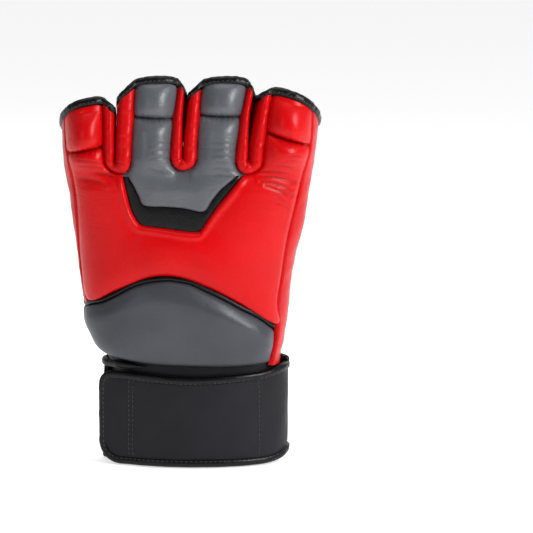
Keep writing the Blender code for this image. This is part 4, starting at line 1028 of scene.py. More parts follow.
for i, f in enumerate(FINGERS):
    t = np.linspace(0, 360, 121)[:-1]
    for lr in (0, 1):
        if (lr == 0 and i > 0) or (lr == 1 and i < 3):
            tp = float(ang(pad_t(i, lr, np.array(195.0)), -1)) % 360
            tm = 360.0 if lr else 180.0
            t = np.concatenate([t, np.linspace(tp, tm, 44)[1:-1]])
    t = np.unique(np.round(t, 3))
    path = finger_vis(i, t, rim_vis(i, t))
    arc = np.concatenate([[0], np.cumsum(np.linalg.norm(np.diff(np.vstack([path, path[:1]]), axis=0), axis=1))])
    t = np.interp(np.linspace(0, arc[-1], 221)[:-1], arc, np.concatenate([t, [t[0] + 360]]))
    path = finger_vis(i, t, rim_vis(i, t, 1.9), 0.0)
    fr = np.fft.fftfreq(len(t), arc[-1] / len(t))
    path = np.fft.ifft(np.fft.fft(path, axis=0) * np.exp(-2 * (math.pi * 1.9 * fr) ** 2)[:, None], axis=0).real
    up = np.array([-RIM[f][1], RIM[f][2], 1.0]); up /= np.linalg.norm(up)
    Tn = np.roll(path, -1, 0) - np.roll(path, 1, 0)
    Tn /= np.linalg.norm(Tn, axis=1, keepdims=True)
    outw = np.cross(Tn, up)
    outw /= np.linalg.norm(outw, axis=1, keepdims=True)
    outw *= np.sign((outw * (path - path.mean(0))).sum())
    rng = np.random.RandomState(10 + i)
    sarc = np.arange(len(t)) / len(t) * 2 * math.pi
    wob = sum(rng.uniform(0.03, 0.09) * np.sin(sarc * m + rng.uniform(0, 6)) for m in (5, 9, 14, 23, 31))
    prof = [(0.2, -2.35), (0.85, -2.1), (1.15, -1.1), (1.15, 0.1), (0.85, 1.1), (0.2, 1.75), (-0.8, 1.95), (-1.8, 1.7), (-2.5, 0.9), (-2.75, -0.4), (-2.7, -1.9),
            (-2.0, -2.9), (-0.8, -2.8)]
    G = np.stack([path + outw * (n_ + (wob if n_ > 0 else 0.5 * wob))[:, None] + up * (u_ + 0.3 * wob)[:, None] for n_, u_ in prof], 1)
    stp = path + outw * (1.17 + wob)[:, None] + up * -1.35

    def hold(A):
        """Keeps a rim's binding on its own side of the slits."""
        r = np.hypot(A[..., 1] - HINGE_Y, A[..., 2] - HINGE_Z)
        if i > 0:
            A[..., 0] = np.maximum(A[..., 0], lin(BOUND[i - 1], r) + 0.06)
        if i < 3:
            A[..., 0] = np.minimum(A[..., 0], lin(BOUND[i], r) - 0.06)
        return A
    G, stp = hold(G), hold(stp)
    ob = new_obj(f + "_rim_binding_skin", G.reshape(-1, 3), grid_faces(len(t), len(prof), 0, True, True), M_BLACK)
    outward(ob)
    FOLDERS.append((ob, f))
    ob = stitches(f + "_rim_stitches", stp, outw, M_THREAD_B, pitch=2.3, length=1.6, r=0.19, lift=-0.02, closed=True)
    FOLDERS.append((ob, f))
    t = np.linspace(0, 360, 121)[:-1]
    v = np.linspace(0, 1, 14)
    T2, V2 = np.meshgrid(t, v, indexing="ij")
    zt = rim_vis(i, t, 3.0)[:, None]
    Z = 150.0 + (zt - 150.0) * V2
    zc = np.maximum(Z, 152)
    P_ = finger_pt(i, T2, zc, inner_depth(T2, V2)); P_[..., 2] = Z
    ob = surf(f + "_lining_skin", P_, M_LINING, 0, cu=True, ref=P_.mean((0, 1)), flip=None)
    FOLDERS.append((ob, f))
# ------------------------------------------------------------------ arched wrist pad and its piping
PAD_LO = np.array([(-1.0, 67.0), (-0.985, 63.5), (-0.95, 60.8), (-0.88, 58.8), (-0.7, 57.4), (-0.4, 56.2), (0, 55.4), (0.4, 54.9), (0.7, 55.0), (0.92, 55.4)])


def hc(t):
    return spow(np.cos(np.radians(t)), 2 / HAND_N)


def wrist_top(t):
    return side_bound(t) - 1.9


zz_ = np.linspace(60, 88, 8)
T_END = float(np.max(hand_t(palm_edge(0, zz_), zz_, 1))) - 360 + 0.9
t = np.unique(np.concatenate([np.linspace(T_END, -29.4, 215), np.linspace(T_END, T_END + 7, 10), np.linspace(-31.5, -29.4, 6)]))
v = np.unique(np.concatenate([np.linspace(0, 1, 60), np.linspace(0, .06, 7), 1 - np.linspace(0, .06, 7)]))
T, Vv = np.meshgrid(t, v, indexing="ij")
lo, hi = tab(PAD_LO, hc(t)) - 1.2 - 0.5 * smooth(-0.9, -0.3, hc(t)), wrist_top(t)
Z = lo[:, None] + (hi - lo)[:, None] * Vv
eb, et = Z - lo[:, None], hi[:, None] - Z
er = (-29.4 - T) * 0.55
el_ = (T - T_END) * 0.45
puff = 4.2 * np.clip(4 * Vv * (1 - Vv), 0, 1) ** 0.55 * smooth(0, 14, er) ** 0.6 * smooth(0, 34, el_) ** 0.75
crest = 0.9 * np.exp(-((et - 8.5) / 5.0) ** 2) * smooth(0, 20, er)
rng = np.random.RandomState(5)
uneven = sum(rng.uniform(0.03, 0.09) * np.sin(Z * rng.uniform(.1, .4) + T * rng.uniform(.03, .14) + rng.uniform(0, 6)) for _ in range(12))
D = roll(eb, 2.2, 2.4) + roll(et, 2.6, 2.6) + roll(er, 2.6, 2.4) + roll(el_, 2.2, 2.0) - puff - crest + uneven + 0.4
wrist = surf("wrist_pad_skin", hand_pt(T, Z, D), M_PAD, 1.8)

# piping in the groove above the pad
t = np.linspace(T_END + 0.8, -33, 175)
z = side_bound(t) - 0.9
p = hand_pt(t, z, 0.9)
c = hand_pt(t, z, 6.0)
sweep("wrist_pad_piping_skin", p, circle(1.15, 12), M_BLACK, normal=p - c)
z = side_bound(t) + 3.1
p = hand_pt(t, z, 0.0)
d_at = roll(np.full(len(t), 3.1), 2.6, 2.4) - 0.25
p = hand_pt(t, z, d_at - 0.15)
stitches("arch_stitches", p, p - hand_pt(t, z, 6.0), M_THREAD_R, pitch=2.6, length=1.7, r=0.17, lift=0.0)

# ------------------------------------------------------------------ palm: knitted mesh with the thumb opening
FOOT = [(40.5, 98), (36, 111), (28, 121.5), (19, 125.0), (9.5, 124.0), (2, 121.0), (-3, 115.0), (-6.2, 107.5),
        (-7.0, 99), (-5.8, 91), (-2.6, 84), (5, 74), (14.5, 65), (23.5, 60.0), (32, 64), (39, 77)]
RIM_C, RIM_A, RIM_B, RIM_TILT = (7.4, 99.0), 12.9, 20.5, 23.0


def foot(phi):
    phi = np.asarray(phi, float)
    u = (phi % 360) / 22.5
    k = np.floor(u).astype(int) % 16
    f = u - np.floor(u)
    FP = np.array(FOOT, float)
    a, b, c, d = (FP[(k + m - 1) % 16] for m in range(4))
    f = f[..., None]
    return 0.5 * (2 * b + (c - a) * f + (2 * a - 5 * b + 4 * c - d) * f * f + (3 * b - a - 3 * c + d) * f ** 3)


def palm_y(x, z, d=0.0):
    return hand_pt(hand_t(x, z, 1), z, d)[..., 1]


def flat_mesh(outline, holes, spacing):
    from mathutils import geometry
    pts, edges = [], []
    for loop in [outline] + holes:
        s = len(pts)
        pts += [tuple(map(float, p)) for p in loop]
        edges += [(s + k, s + (k + 1) % len(loop)) for k in range(len(loop))]

    def inside(p, loop):
        loop = np.asarray(loop, float)
        x0, y0 = loop[:, 0], loop[:, 1]
        x1, y1 = np.roll(x0, 1), np.roll(y0, 1)
        px, py = p[:, 0][:, None], p[:, 1][:, None]
        with np.errstate(divide="ignore", invalid="ignore"):
            hit = ((y0 > py) != (y1 > py)) & (px < (x1 - x0) * (py - y0) / (y1 - y0) + x0)
        return (hit.sum(1) % 2) == 1
    O = np.asarray(outline, float)
    gx = np.arange(O[:, 0].min() + spacing / 2, O[:, 0].max(), spacing)
    gy = np.arange(O[:, 1].min() + spacing / 2, O[:, 1].max(), spacing)
    Q = np.stack(np.meshgrid(gx, gy, indexing="ij"), -1).reshape(-1, 2)
    ok = inside(Q, outline)
    for h in holes:
        ok &= ~inside(Q, h)
    R = np.array(pts)
    near = np.min(np.hypot(Q[:, None, 0] - R[None, :, 0], Q[:, None, 1] - R[None, :, 1]), 1)
    Q = Q[ok & (near > 0.5 * spacing)]
    vo, _, tris, _, _, _ = geometry.delaunay_2d_cdt([Vector(p) for p in pts] + [Vector(q) for q in Q.tolist()], edges, [], 0, 1e-5)
    vo = np.array([(a[0], a[1]) for a in vo]); tris = np.array([tuple(q) for q in tris])
    cc = vo[tris].mean(1)
    ok = inside(cc, outline)
    for h in holes:
        ok &= ~inside(cc, h)
    tris = tris[ok]
    used = np.unique(tris)
    idx = -np.ones(len(vo), int); idx[used] = np.arange(len(used))
    return vo[used], idx[tris]


def dense(loop, step, closed=True):
    loop = np.asarray(loop, float)
    q = resample(np.column_stack([loop, np.zeros(len(loop))]), step, closed)
    return q[:, :2]


PALM_LO = 50.0
za = np.linspace(PALM_LO, SPLIT, 60)
left = np.stack([palm_edge(0, za), za], 1); right_ = np.stack([palm_edge(1, za), za], 1)
outline = np.vstack([left, dense([left[-1], right_[-1]], 2.0, False)[1:-1], right_[::-1], dense([right_[0], left[0]], 2.0, False)[1:-1]])
ph = np.arange(0, 360, 3.0)
hole = np.array([15.0, 93.0]) + (foot(ph) - np.array([15.0, 93.0])) * np.array([0.80, 0.82])
Q2, tri = flat_mesh(outline, [hole], 2.0)
y = front_y(Q2[:, 0], Q2[:, 1], 0.0, 1)
pe0, pe1 = palm_edge(0, Q2[:, 1]), palm_edge(1, Q2[:, 1])
dd = roll(Q2[:, 0] - pe0, 1.5, 0.5) + roll(pe1 - Q2[:, 0], 1.5, 0.5)
ripple = 0.35 * np.sin(Q2[:, 0] * 0.23 + Q2[:, 1] * 0.11) + 0.25 * np.sin(Q2[:, 0] * 0.1 - Q2[:, 1] * 0.27)
V = np.stack([Q2[:, 0], y - dd + ripple * smooth(0, 8, Q2[:, 0] - pe0) * smooth(0, 8, pe1 - Q2[:, 0]) * smooth(SPLIT, SPLIT - 8, Q2[:, 1]), Q2[:, 1]], 1)
palm = new_obj("palm_panel_skin", V, tri, M_MESH)
n = palm.data.polygons[0].normal
if n.y < 0:
    palm.data.flip_normals()

for i, f in enumerate(FINGERS):
    X, Z, L, R, U, Vv = finger_skin(i, 1, 3.0, 26, 60)
    Pm = front_pt(X, Z, roll(X - L, 1.2, 0.4) + roll(R - X, 1.2, 0.4), 1)
    ob = surf(f + "_palm_mesh_skin", Pm, M_MESH, 0.9)
    FOLDERS.append((ob, f))

# hand lining: a dark textile shell inside the hand
t = np.linspace(-360, 0, 97)[:-1]
z = np.concatenate([np.linspace(50, 148, 40), [150, 152.0]])
T, Z = np.meshgrid(t, z, indexing="ij")
dep = 3.4 + 5.6 * smooth(0.25, 0.7, -np.sin(np.radians(T)))
mouth = hand_pt(T, Z, dep)
# leaves the thumb's way free
fx, fz = mouth[..., 0], mouth[..., 2]
G = mouth
V = G.reshape(-1, 3)
F = grid_faces(len(t), len(z), 0, True)
cc = V[F].mean(1)
hx, hz = (cc[:, 0] - 13.0) / 19.0, (cc[:, 2] - 94.0) / 27.0
F = F[~((cc[:, 1] > 6) & (hx ** 2 + hz ** 2 < 1))]
ob = new_obj("hand_lining_skin", V, F, M_LINING)
if (np.array([ob.data.polygons[0].normal[k] for k in range(3)]) @ (cc[0] - np.array([0, 0, cc[0][2]]))) > 0:
    ob.data.flip_normals()

# ------------------------------------------------------------------ grip bar: patch, flap and padded roll
BAR_Z, BAR_RZ, BAR_RY = 137.0, 7.6, 6.0
xs = np.unique(np.concatenate([np.linspace(-50, 48.5, 110)]))
zz = np.linspace(127.0, 149.5, 40)
Xp, Zp = np.meshgrid(xs, zz, indexing="ij")
e = np.minimum(np.minimum(Xp + 50, 48.5 - Xp), np.minimum(Zp - 127.0, 149.5 - Zp))
lift = 1.1 - roll(e, 1.3, 1.0) + 0.12 * np.sin(Xp * 0.9 + 2 * np.sin(Zp * 0.4))
Yp = front_y(Xp, Zp, 0.0, 1) + lift
surf("grip_bar_patch_skin", P3(Xp, Yp, Zp), M_BLACK, 1.0)
xs = np.linspace(-47.5, 42, 120)
a = np.linspace(-95, 275, 49)[:-1]
Xb, Ab = np.meshgrid(xs, a, indexing="ij")
endk = np.minimum((Xb + 47.5) / 6.5, (42 - Xb) / 6.0)
pinch = np.sqrt(np.clip(1 - (1 - np.clip(endk, 0, 1)) ** 2, 0.03, 1))
rz, ry = BAR_RZ * (0.62 + 0.38 * pinch), BAR_RY * (0.16 + 0.84 * pinch)
wr = 0.16 * np.sin(Xb * 1.3 + np.radians(Ab) * 2) * (1.2 - pinch) * 2 + 0.07 * np.sin(Xb * 0.45 + 1.7 * np.sin(np.radians(Ab)))
Yc = front_y(Xb, 0 * Xb + BAR_Z, 0, 1) + 1.2 + ry * 0.92
Pb = P3(Xb, Yc + (ry + wr) * np.sin(np.radians(Ab)), BAR_Z + (rz + wr) * np.cos(np.radians(Ab)))
nb = Pb.shape[1]
V = Pb.reshape(-1, 3)
F = [tuple(q) for q in grid_faces(len(xs), nb, 0, False, True)] + [tuple(range(nb)), tuple((len(xs) - 1) * nb + k for k in reversed(range(nb)))]
bar = new_obj("grip_bar_skin", V, F, M_BLACK); outward(bar)
# smooth flap of leather above the bar, folded over its upper edge
xs = np.linspace(-49, 46.5, 100)
prof = np.array([(0.4, 144.0), (1.6, 143.2), (2.9, 143.0), (3.7, 143.9), (3.6, 145.3), (2.9, 147.4), (2.2, 149.8), (1.6, 151.6), (1.0, 152.6), (0.2, 152.4)])
wav = 0.35 * np.sin(xs * 0.21) + 0.2 * np.sin(xs * 0.55 + 1)
G = np.stack([P3(xs, front_y(xs, np.full(len(xs), z), 0, 1) + y * smooth(-0.01, 3.0, np.minimum(xs + 49, 46.5 - xs)) + 0.15 * wav, z + wav * (1 if z < 147 else 0.4)) for y, z in prof], 1)
V = G.reshape(-1, 3); nb = G.shape[1]
F = [tuple(q) for q in grid_faces(len(xs), nb, 0, False, True)] + [tuple(range(nb)), tuple((len(xs) - 1) * nb + k for k in reversed(range(nb)))]
flap = new_obj("palm_flap_skin", V, F, M_BLACK); outward(flap)

for zz_, nm, x0, x1 in ((128.3, "lower", -48.5, 47.0), (148.4, "upper", -48.5, 47.0)):
    xx = np.linspace(x0, x1, 80)
    lift = 1.22 if zz_ < 140 else 2.75
    p = P3(xx, front_y(xx, np.full(80, zz_), 0, 1) + lift, zz_)
    stitches("grip_stitches_" + nm, p, np.tile([0, 1.0, 0.15], (80, 1)), M_THREAD_B, pitch=2.6, length=1.7, r=0.18, lift=0.0)
for xx_, nm in ((44.6, "thumb_side"), (46.6, "thumb_edge"), (-48.2, "little_side")):
    z_ = np.linspace(128.5, 142.5, 30)
    p = P3(xx_, front_y(np.full(30, xx_), z_, 0, 1) + 1.25, z_)
    stitches("grip_end_stitches_" + nm, p, np.tile([0, 1.0, 0], (30, 1)), M_THREAD_B, pitch=2.4, length=1.6, r=0.18, lift=0.0)

# ------------------------------------------------------------------ thumb sheath and its binding


def thumb_pt(phi, s):
    f = foot(phi)
    c, sn = np.cos(np.radians(phi)), np.sin(np.radians(phi))
    rx, rz = RIM_C[0] + RIM_A * c, RIM_C[1] + RIM_B * sn
    ry = 24.6 + RIM_TILT * (0.5 + 0.5 * c)
    fx, fz = f[..., 0], f[..., 1]
    fy = palm_y(fx, fz) + 0.7
    mx, mz = fx * 0.72 + rx * 0.28, fz * 0.72 + rz * 0.28
    my = fy + (ry - fy) * 0.92
    q = [(1 - s) ** 2 * a + 2 * s * (1 - s) * m + s * s * b for a, m, b in ((fx, mx, rx), (fy, my, ry), (fz, mz, rz))]
    return np.stack(np.broadcast_arrays(*q), -1)


def thumb_n(phi, s):
    e = 0.02
    du = thumb_pt(phi + 2, s) - thumb_pt(phi - 2, s)
    dv = thumb_pt(phi, np.minimum(1, s + e)) - thumb_pt(phi, np.maximum(0, s - e))
    n = np.cross(du, dv)
    return n / np.maximum(np.linalg.norm(n, axis=-1, keepdims=True), 1e-9)


ph = np.linspace(0, 360, 145)[:-1]
s = np.concatenate([np.linspace(0, 0.10, 7), np.linspace(0.14, 1, 34)])
PH, S = np.meshgrid(ph, s, indexing="ij")
N_ = thumb_n(PH, S)
out_sign = np.sign((N_ * (thumb_pt(PH, S) - np.array([8, 20, 96.0]))).sum(-1).mean())
N_ = N_ * out_sign
wave = 0.22 * np.sin(np.radians(PH) * 5 + S * 7) * np.sin(math.pi * S) + 0.16 * np.sin(np.radians(PH) * 11 - S * 9) * S
edge_seam = -0.9 * np.exp(-((S - 0.135) / 0.028) ** 2) + 0.55 * np.exp(-((S - 0.07) / 0.04) ** 2)
Pt = thumb_pt(PH, S) + N_ * (0.2 + wave + edge_seam - roll(S * 30, 1.2, 0.9))[..., None]
sh_o = Pt
Pi = thumb_pt(PH, S) - N_ * 1.7
G = np.concatenate([sh_o, Pi[:, ::-1]], 1)
V = G.reshape(-1, 3)
F = grid_faces(len(ph), G.shape[1], 0, True, True)
sheath = new_obj("thumb_sheath_skin", V, F, M_SHEATH); outward(sheath)
rp = thumb_pt(ph, 1.0)
du = thumb_pt(ph + 2, 1.0) - thumb_pt(ph - 2, 1.0)
du /= np.linalg.norm(du, axis=-1, keepdims=True)
axn = np.array([-RIM_TILT / (2 * RIM_A), 1.0, 0]); axn /= np.linalg.norm(axn)
outv = np.cross(du, np.tile(axn, (len(ph), 1)))
flipv = np.sign((outv * (rp - rp.mean(0))).sum(1, keepdims=True))
outv = outv * flipv
prof = [(-2.6, 1.1), (-1.2, 1.55), (0.6, 1.65), (2.2, 1.45), (3.2, 0.8), (3.5, -0.2), (3.3, -1.3), (2.4, -2.2), (0.8, -2.6), (-1.4, -2.6), (-2.6, -1.6)]
rng = np.random.RandomState(77)
wob = sum(rng.uniform(0.04, 0.12) * np.sin(np.radians(ph) * m + rng.uniform(0, 6)) for m in (4, 7, 12, 19, 27))
G = np.stack([rp + axn * (a + 0.4 * wob)[:, None] + outv * (b + wob * (1 if b > 0 else 0.5))[:, None] for a, b in prof], 1)
V = G.reshape(-1, 3)
F = grid_faces(len(ph), len(prof), 0, True, True)
tb = new_obj("thumb_binding_skin", V, F, M_BLACK); outward(tb)
p = rp + axn * -1.6 + outv * (1.55 + wob)[:, None]
ts_ = stitches("thumb_rim_stitches", p, outv, M_THREAD_B, pitch=2.4, length=1.7, r=0.20, lift=0.0, closed=True)
sel = thumb_pt(ph, 0.165) + thumb_n(ph, 0.165) * out_sign * 0.25
fs_ = stitches("thumb_foot_stitches", sel, thumb_n(ph, 0.165) * out_sign, M_THREAD_G, pitch=2.5, length=1.7, r=0.17, lift=0.0, closed=True)
THUMBERS = [sheath, tb, ts_, fs_]

# ------------------------------------------------------------------ cuff, strap base and strap
STRAP_H, ARMH, CUFF_H, BINDW = 49.6, 54.2, 56.5, 4.2
t = np.linspace(0, 360, 181)[:-1]
prof = [(4.5, 2.0), (4.3, 8), (4.3, 45), (4.4, 55.0), (4.8, 56.3), (5.8, 56.8), (7.2, 56.4), (7.8, 54.5), (7.9, 30), (7.8, 3.0), (7.3, 0.6), (6.2, 0.0), (5.0, 0.4)]
G = np.stack([cuff_pt(t, np.full(len(t), z), d) for d, z in prof], 1)
V = G.reshape(-1, 3)
cuff = new_obj("cuff_band_skin", V, grid_faces(len(t), len(prof), 0, True, True), M_STRAP); outward(cuff)


def strap_lift(t):
    """The strap's lower edge rides up a little round the thumb-side fold."""
    return 4.2 * np.exp(-((np.asarray(t, float) - 1.0) / 25.0) ** 2)


def strap_wall(name, t0, t1, z0, z1, d_out, d_in, mat, nt=120, nz=40, disp=None, open_l=False):
    """A closed leather band lying on the cuff between two angles and two heights."""
    t = np.linspace(t0, t1, nt)
    v = np.unique(np.concatenate([np.linspace(0, 1, nz), np.linspace(0, .05, 5), 1 - np.linspace(0, .05, 5)]))
    T, Vv = np.meshgrid(t, v, indexing="ij")
    Z0 = z0(T) if callable(z0) else z0; Z1 = z1(T) if callable(z1) else z1
    Z = Z0 + (Z1 - Z0) * Vv
    d = d_out + (disp(T, Z, Vv) if disp else 0)
    O = cuff_pt(T, Z, d); I = cuff_pt(T, Z, d_in)
    G = np.concatenate([O, I[:, ::-1]], 1)
    V = G.reshape(-1, 3); nb = G.shape[1]
    F = [tuple(q) for q in grid_faces(len(t), nb, 0, False, True)] + [tuple(range(nb)), tuple((len(t) - 1) * nb + k for k in reversed(range(nb)))]
    ob = new_obj(name, V, F, mat); outward(ob)
    ob.data.set_sharp_from_angle(angle=math.radians(70))
    return ob


def soft_band(T, Z, Vv):
    return 0.14 * np.sin(T * 0.09 + Z * 0.08) + 0.10 * np.sin(T * 0.23 - Z * 0.16) - 0.35 * (1 - np.abs(2 * Vv - 1) ** 6)


strap_wall("strap_base_skin", 3.75, 190.0, lambda T: strap_lift(T) + 3.9 + 10.0 * (1 - np.sqrt(np.clip(1 - (np.clip(T - 174, 0, 16) / 16.5) ** 2, 0, 1))), 50.5, 0.45, 2.3, M_STRAP, disp=soft_band)
# front flap, wavy soft leather inside its binding
FLAP_T0, FLAP_T1 = 3.5, -173.5


def flap_top(t):
    return STRAP_H + 2.6 * smooth(-50, -12, t) - 1.8 * np.exp(-((np.asarray(t, float) + 92) / 34) ** 2)


def flap_pt(t, z, d=0.0):
    """Outer face of the strap's front flap: its end leaves the cuff and lies flatter than the cuff's side."""
    t = np.asarray(t, float)
    w = np.clip((-132.0 - t) / 42.0, 0, 1.2) ** 1.6
    P = cuff_pt(t, z, d)
    P[..., 0] -= 2.3 * w
    P[..., 1] -= 8.5 * w
    return P


T_TAB = np.linspace(FLAP_T1, FLAP_T0, 700)
S_TAB = np.concatenate([[0], np.cumsum(np.linalg.norm(np.diff(flap_pt(T_TAB, 20.0 + 0 * T_TAB), axis=0), axis=1))])


def flap_outline(inset, fold=True):
    pts = []
    t0 = FLAP_T0
    lo = 0.3 + inset
    r_lo, r_hi = max(2.0, 12.0 - inset), max(1.5, 7.5 - inset)
    tos = lambda q: float(np.interp(q, S_TAB, T_TAB))        # mm from the flap's end to degrees round the cuff
    bot = lambda t: lo + float(strap_lift(t))
    pts += [(t, bot(t)) for t in np.linspace(t0, tos(inset + r_lo), 80)]
    for a in np.linspace(0, math.pi / 2, 13)[1:]:
        pts.append((tos(inset + r_lo * (1 - math.sin(a))), lo + r_lo * (1 - math.cos(a))))
    hi = float(flap_top(tos(inset))) - inset
    for z in np.linspace(lo + r_lo, hi - r_hi, 24)[1:]:
        pts.append((tos(inset), z))
    for a in np.linspace(0, math.pi / 2, 10)[1:]:
        pts.append((tos(inset + r_hi * (1 - math.cos(a))), hi - r_hi + r_hi * math.sin(a)))
    pts += [(t, float(flap_top(t)) - inset) for t in np.linspace(tos(inset + r_hi), t0, 70)[1:]]
    if fold:
        pts += [(t0, z) for z in np.linspace(float(flap_top(t0)) - inset, bot(t0), 22)[1:-1]]
    return np.array(pts)


def flap_disp(t, z):
    return 0.16 * np.sin(t * 0.075 + z * 0.10 + 1) + 0.10 * np.sin(t * 0.19 - z * 0.17)


ol = flap_outline(BINDW - 0.8)
K = 0.8
Q2, tri = flat_mesh(ol * [K, 1], [], 1.9)
tq, zq = Q2[:, 0] / K, Q2[:, 1]
O = flap_pt(tq, zq, 0.75 - 0.45 * smooth(0, 14, 25 - np.abs(zq - 25)) + flap_disp(tq, zq)); I = flap_pt(tq, zq, 2.0)
n0 = len(O)
cnt = {}
for a_, b_, c_ in tri:
    for e_ in ((a_, b_), (b_, c_), (c_, a_)):
        cnt[e_] = 1
F = [tuple(q) for q in tri] + [tuple(n0 + k for k in q[::-1]) for q in tri] + [(b_, a_, n0 + a_, n0 + b_) for (a_, b_) in cnt if (b_, a_) not in cnt]
flapo = new_obj("strap_flap_skin", np.vstack([O, I]), F, M_STRAP); outward(flapo)
flapo.data.set_sharp_from_angle(angle=math.radians(60))
# binding round the flap: a folded tape with a rounded edge; open at the fold end
ins = [BINDW, BINDW - 0.35, BINDW - 1.1, 2.2, 1.2, 0.45, 0.05, 0.15, 1.0, BINDW - 0.2]
dps = [0.8, 0.0, -0.55, -0.78, -0.68, -0.25, 0.7, 1.9, 2.55, 2.6]
loops = [flap_outline(max(q, 0.02), False) for q in ins]
rngw = np.random.RandomState(21)
L0 = loops[3]
sarc = np.concatenate([[0], np.cumsum(np.linalg.norm(np.diff(flap_pt(L0[:, 0], L0[:, 1]), axis=0), axis=1))])
wob = sum(rngw.uniform(0.03, 0.08) * np.sin(sarc * w_ + rngw.uniform(0, 6)) for w_ in (0.21, 0.47, 0.9, 1.4))
G = np.stack([flap_pt(l[:, 0], l[:, 1], d + (wob if d < 1 else 0)) for l, d in zip(loops, dps)], 1)
V = G.reshape(-1, 3)
nb = G.shape[1]
F = [tuple(q) for q in grid_faces(G.shape[0], nb, 0, False, True)] + [tuple(range(nb)), tuple((G.shape[0] - 1) * nb + k for k in reversed(range(nb)))]
sbind = new_obj("strap_binding_skin", V, F, M_BLACK); outward(sbind)
lst = flap_outline(BINDW - 0.9, False)
sel = lst
p = flap_pt(sel[:, 0], sel[:, 1], -0.52)
nrm = p - flap_pt(sel[:, 0], sel[:, 1], 6.0)
sst = stitches("strap_edge_stitches", p, nrm, M_THREAD_B, pitch=2.5, length=1.7, r=0.20, lift=0.0)
STRAPPERS = [flapo, sbind, sst]


def strap_line(name, x=None, z0=6, z1=44, t=None, side=-1, lift=0.1):
    z_ = np.linspace(z0, z1, 40)
    c = (x - CUFF_X) / CUFF_A
    tt = side * math.degrees(math.acos(c))
    p = flap_pt(np.full(40, tt), z_, -lift + (flap_disp(tt, z_) + 0.75 - 0.45 * smooth(0, 14, 25 - np.abs(z_ - 25)) if side < 0 else 0))
    return stitches(name, p, p - flap_pt(np.full(40, tt), z_, 6.0), M_THREAD_B, pitch=2.5, length=1.7, r=0.19, lift=0.0)


for k, x in enumerate((-32.2, -30.2, 35.6)):
    STRAPPERS.append(strap_line("strap_cross_stitches_%d" % k, x, 5.2, 45.4))
# palm side of the cuff: bindings and the stitched rectangle
for nm, zlo, zhi in (("top", 50.0, ARMH), ("bottom", 0.15, 4.2)):
    tb_ = np.linspace(4.2, 236 if nm == "top" else 176, 150)
    small = 1 - 0.8 * smooth(214, 236, tb_) if nm == "top" else 1 + 0 * tb_
    tuck = 1.6 * smooth(184, 204, tb_)
    zm, hh = (zlo + zhi) / 2, (zhi - zlo) / 2
    a = np.linspace(0, 2 * math.pi, 15)[:-1]
    dprof = 1.0 - 1.62 * np.sign(np.cos(a)) * np.abs(np.cos(a)) ** 0.7
    zprof = zm + hh * np.sign(np.sin(a)) * np.abs(np.sin(a)) ** 0.8
    wob = 0.07 * np.sin(tb_ * 0.35) + 0.05 * np.sin(tb_ * 0.83 + 1)
    rise = strap_lift(tb_) if nm == "bottom" else 0 * tb_
    G = np.stack([cuff_pt(tb_, zm + (z - zm) * small + rise, 1.0 + (d - 1.0) * small + wob + tuck) for d, z in zip(dprof, zprof)], 1)
    V = G.reshape(-1, 3); nb = G.shape[1]
    F = [tuple(q) for q in grid_faces(len(tb_), nb, 0, False, True)] + [tuple(range(nb)), tuple((len(tb_) - 1) * nb + k for k in reversed(range(nb)))]
    ob = new_obj("strap_base_%s_binding_skin" % nm, V, F, M_BLACK); outward(ob)
    zz_ = zlo + 1.1 if nm == "top" else zhi - 1.1
    wob, tb_, rise = wob[tb_ < 184], tb_[tb_ < 184], rise[tb_ < 184]
    p = cuff_pt(tb_, zz_ + rise, -0.50 + wob)
    stitches("strap_base_%s_stitches" % nm, p, p - cuff_pt(tb_, zz_ + rise, 6.0), M_THREAD_B, pitch=2.5, length=1.7, r=0.19, lift=0.0)


def palm_line(name, pts, lift=0.05):
    pts = dense(pts, 1.0, False)
    c = (pts[:, 0] - CUFF_X) / CUFF_A
    tt = np.degrees(np.arccos(c))
    vv = (pts[:, 1] - 3.9) / 46.6
    dd = 0.45 + soft_band(tt, pts[:, 1], vv) - lift
    p = cuff_pt(tt, pts[:, 1], dd)
    return stitches(name, p, p - cuff_pt(tt, pts[:, 1], 6.0), M_THREAD_B, pitch=2.6, length=1.8, r=0.20, lift=0.0)


palm_line("palm_box_stitches", [(-33, 17.5), (39, 17.5), (39, 37.5), (-33, 37.5), (-33, 17.5)])
palm_line("palm_box_diagonal", [(-38, 42), (-33, 37.5)])
# ------------------------------------------------------------------ thumb and strap pieces baked in place, and the CAD parts shown by these skins
SPECIAL = set()
for ob in THUMBERS:
    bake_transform(ob); SPECIAL.add(ob.name)
for ob in STRAPPERS:
    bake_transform(ob); SPECIAL.add(ob.name)
REPLACED = {
    "hand_back_panel_skin": ["hand_back_panel", "backhand_foam"],
    "knuckle_centre_skin": ["knuckle_centre_panel"],
    "vee_inlay_skin": ["vee_inlay"],
    "hand_lining_skin": ["hand_lining"],
    "wrist_pad_skin": ["wrist_pad_cover", "wrist_pad_foam"],
    "wrist_pad_piping_skin": ["wrist_pad_piping"],
    "little_side_hand_skin": ["little_side_gusset"],
    "thumb_side_hand_skin": ["thumb_side_gusset"],
    "palm_panel_skin": ["palm_panel"],
    "grip_bar_patch_skin": ["grip_bar_patch"],
    "grip_bar_skin": ["grip_bar_cover", "grip_bar_core"],
    "cuff_band_skin": ["cuff_band", "cuff_loop_patch"],
    "strap_base_skin": ["strap_base"],
    "strap_base_top_binding_skin": ["strap_base_top_binding"],
    "strap_base_bottom_binding_skin": ["strap_base_bottom_binding"],
    "strap_flap_skin": ["strap_flap", "strap_hook_patch"],
    "strap_binding_skin": ["strap_binding"],
    "thumb_sheath_skin": ["thumb_sheath"],
    "thumb_binding_skin": ["thumb_binding"],
}
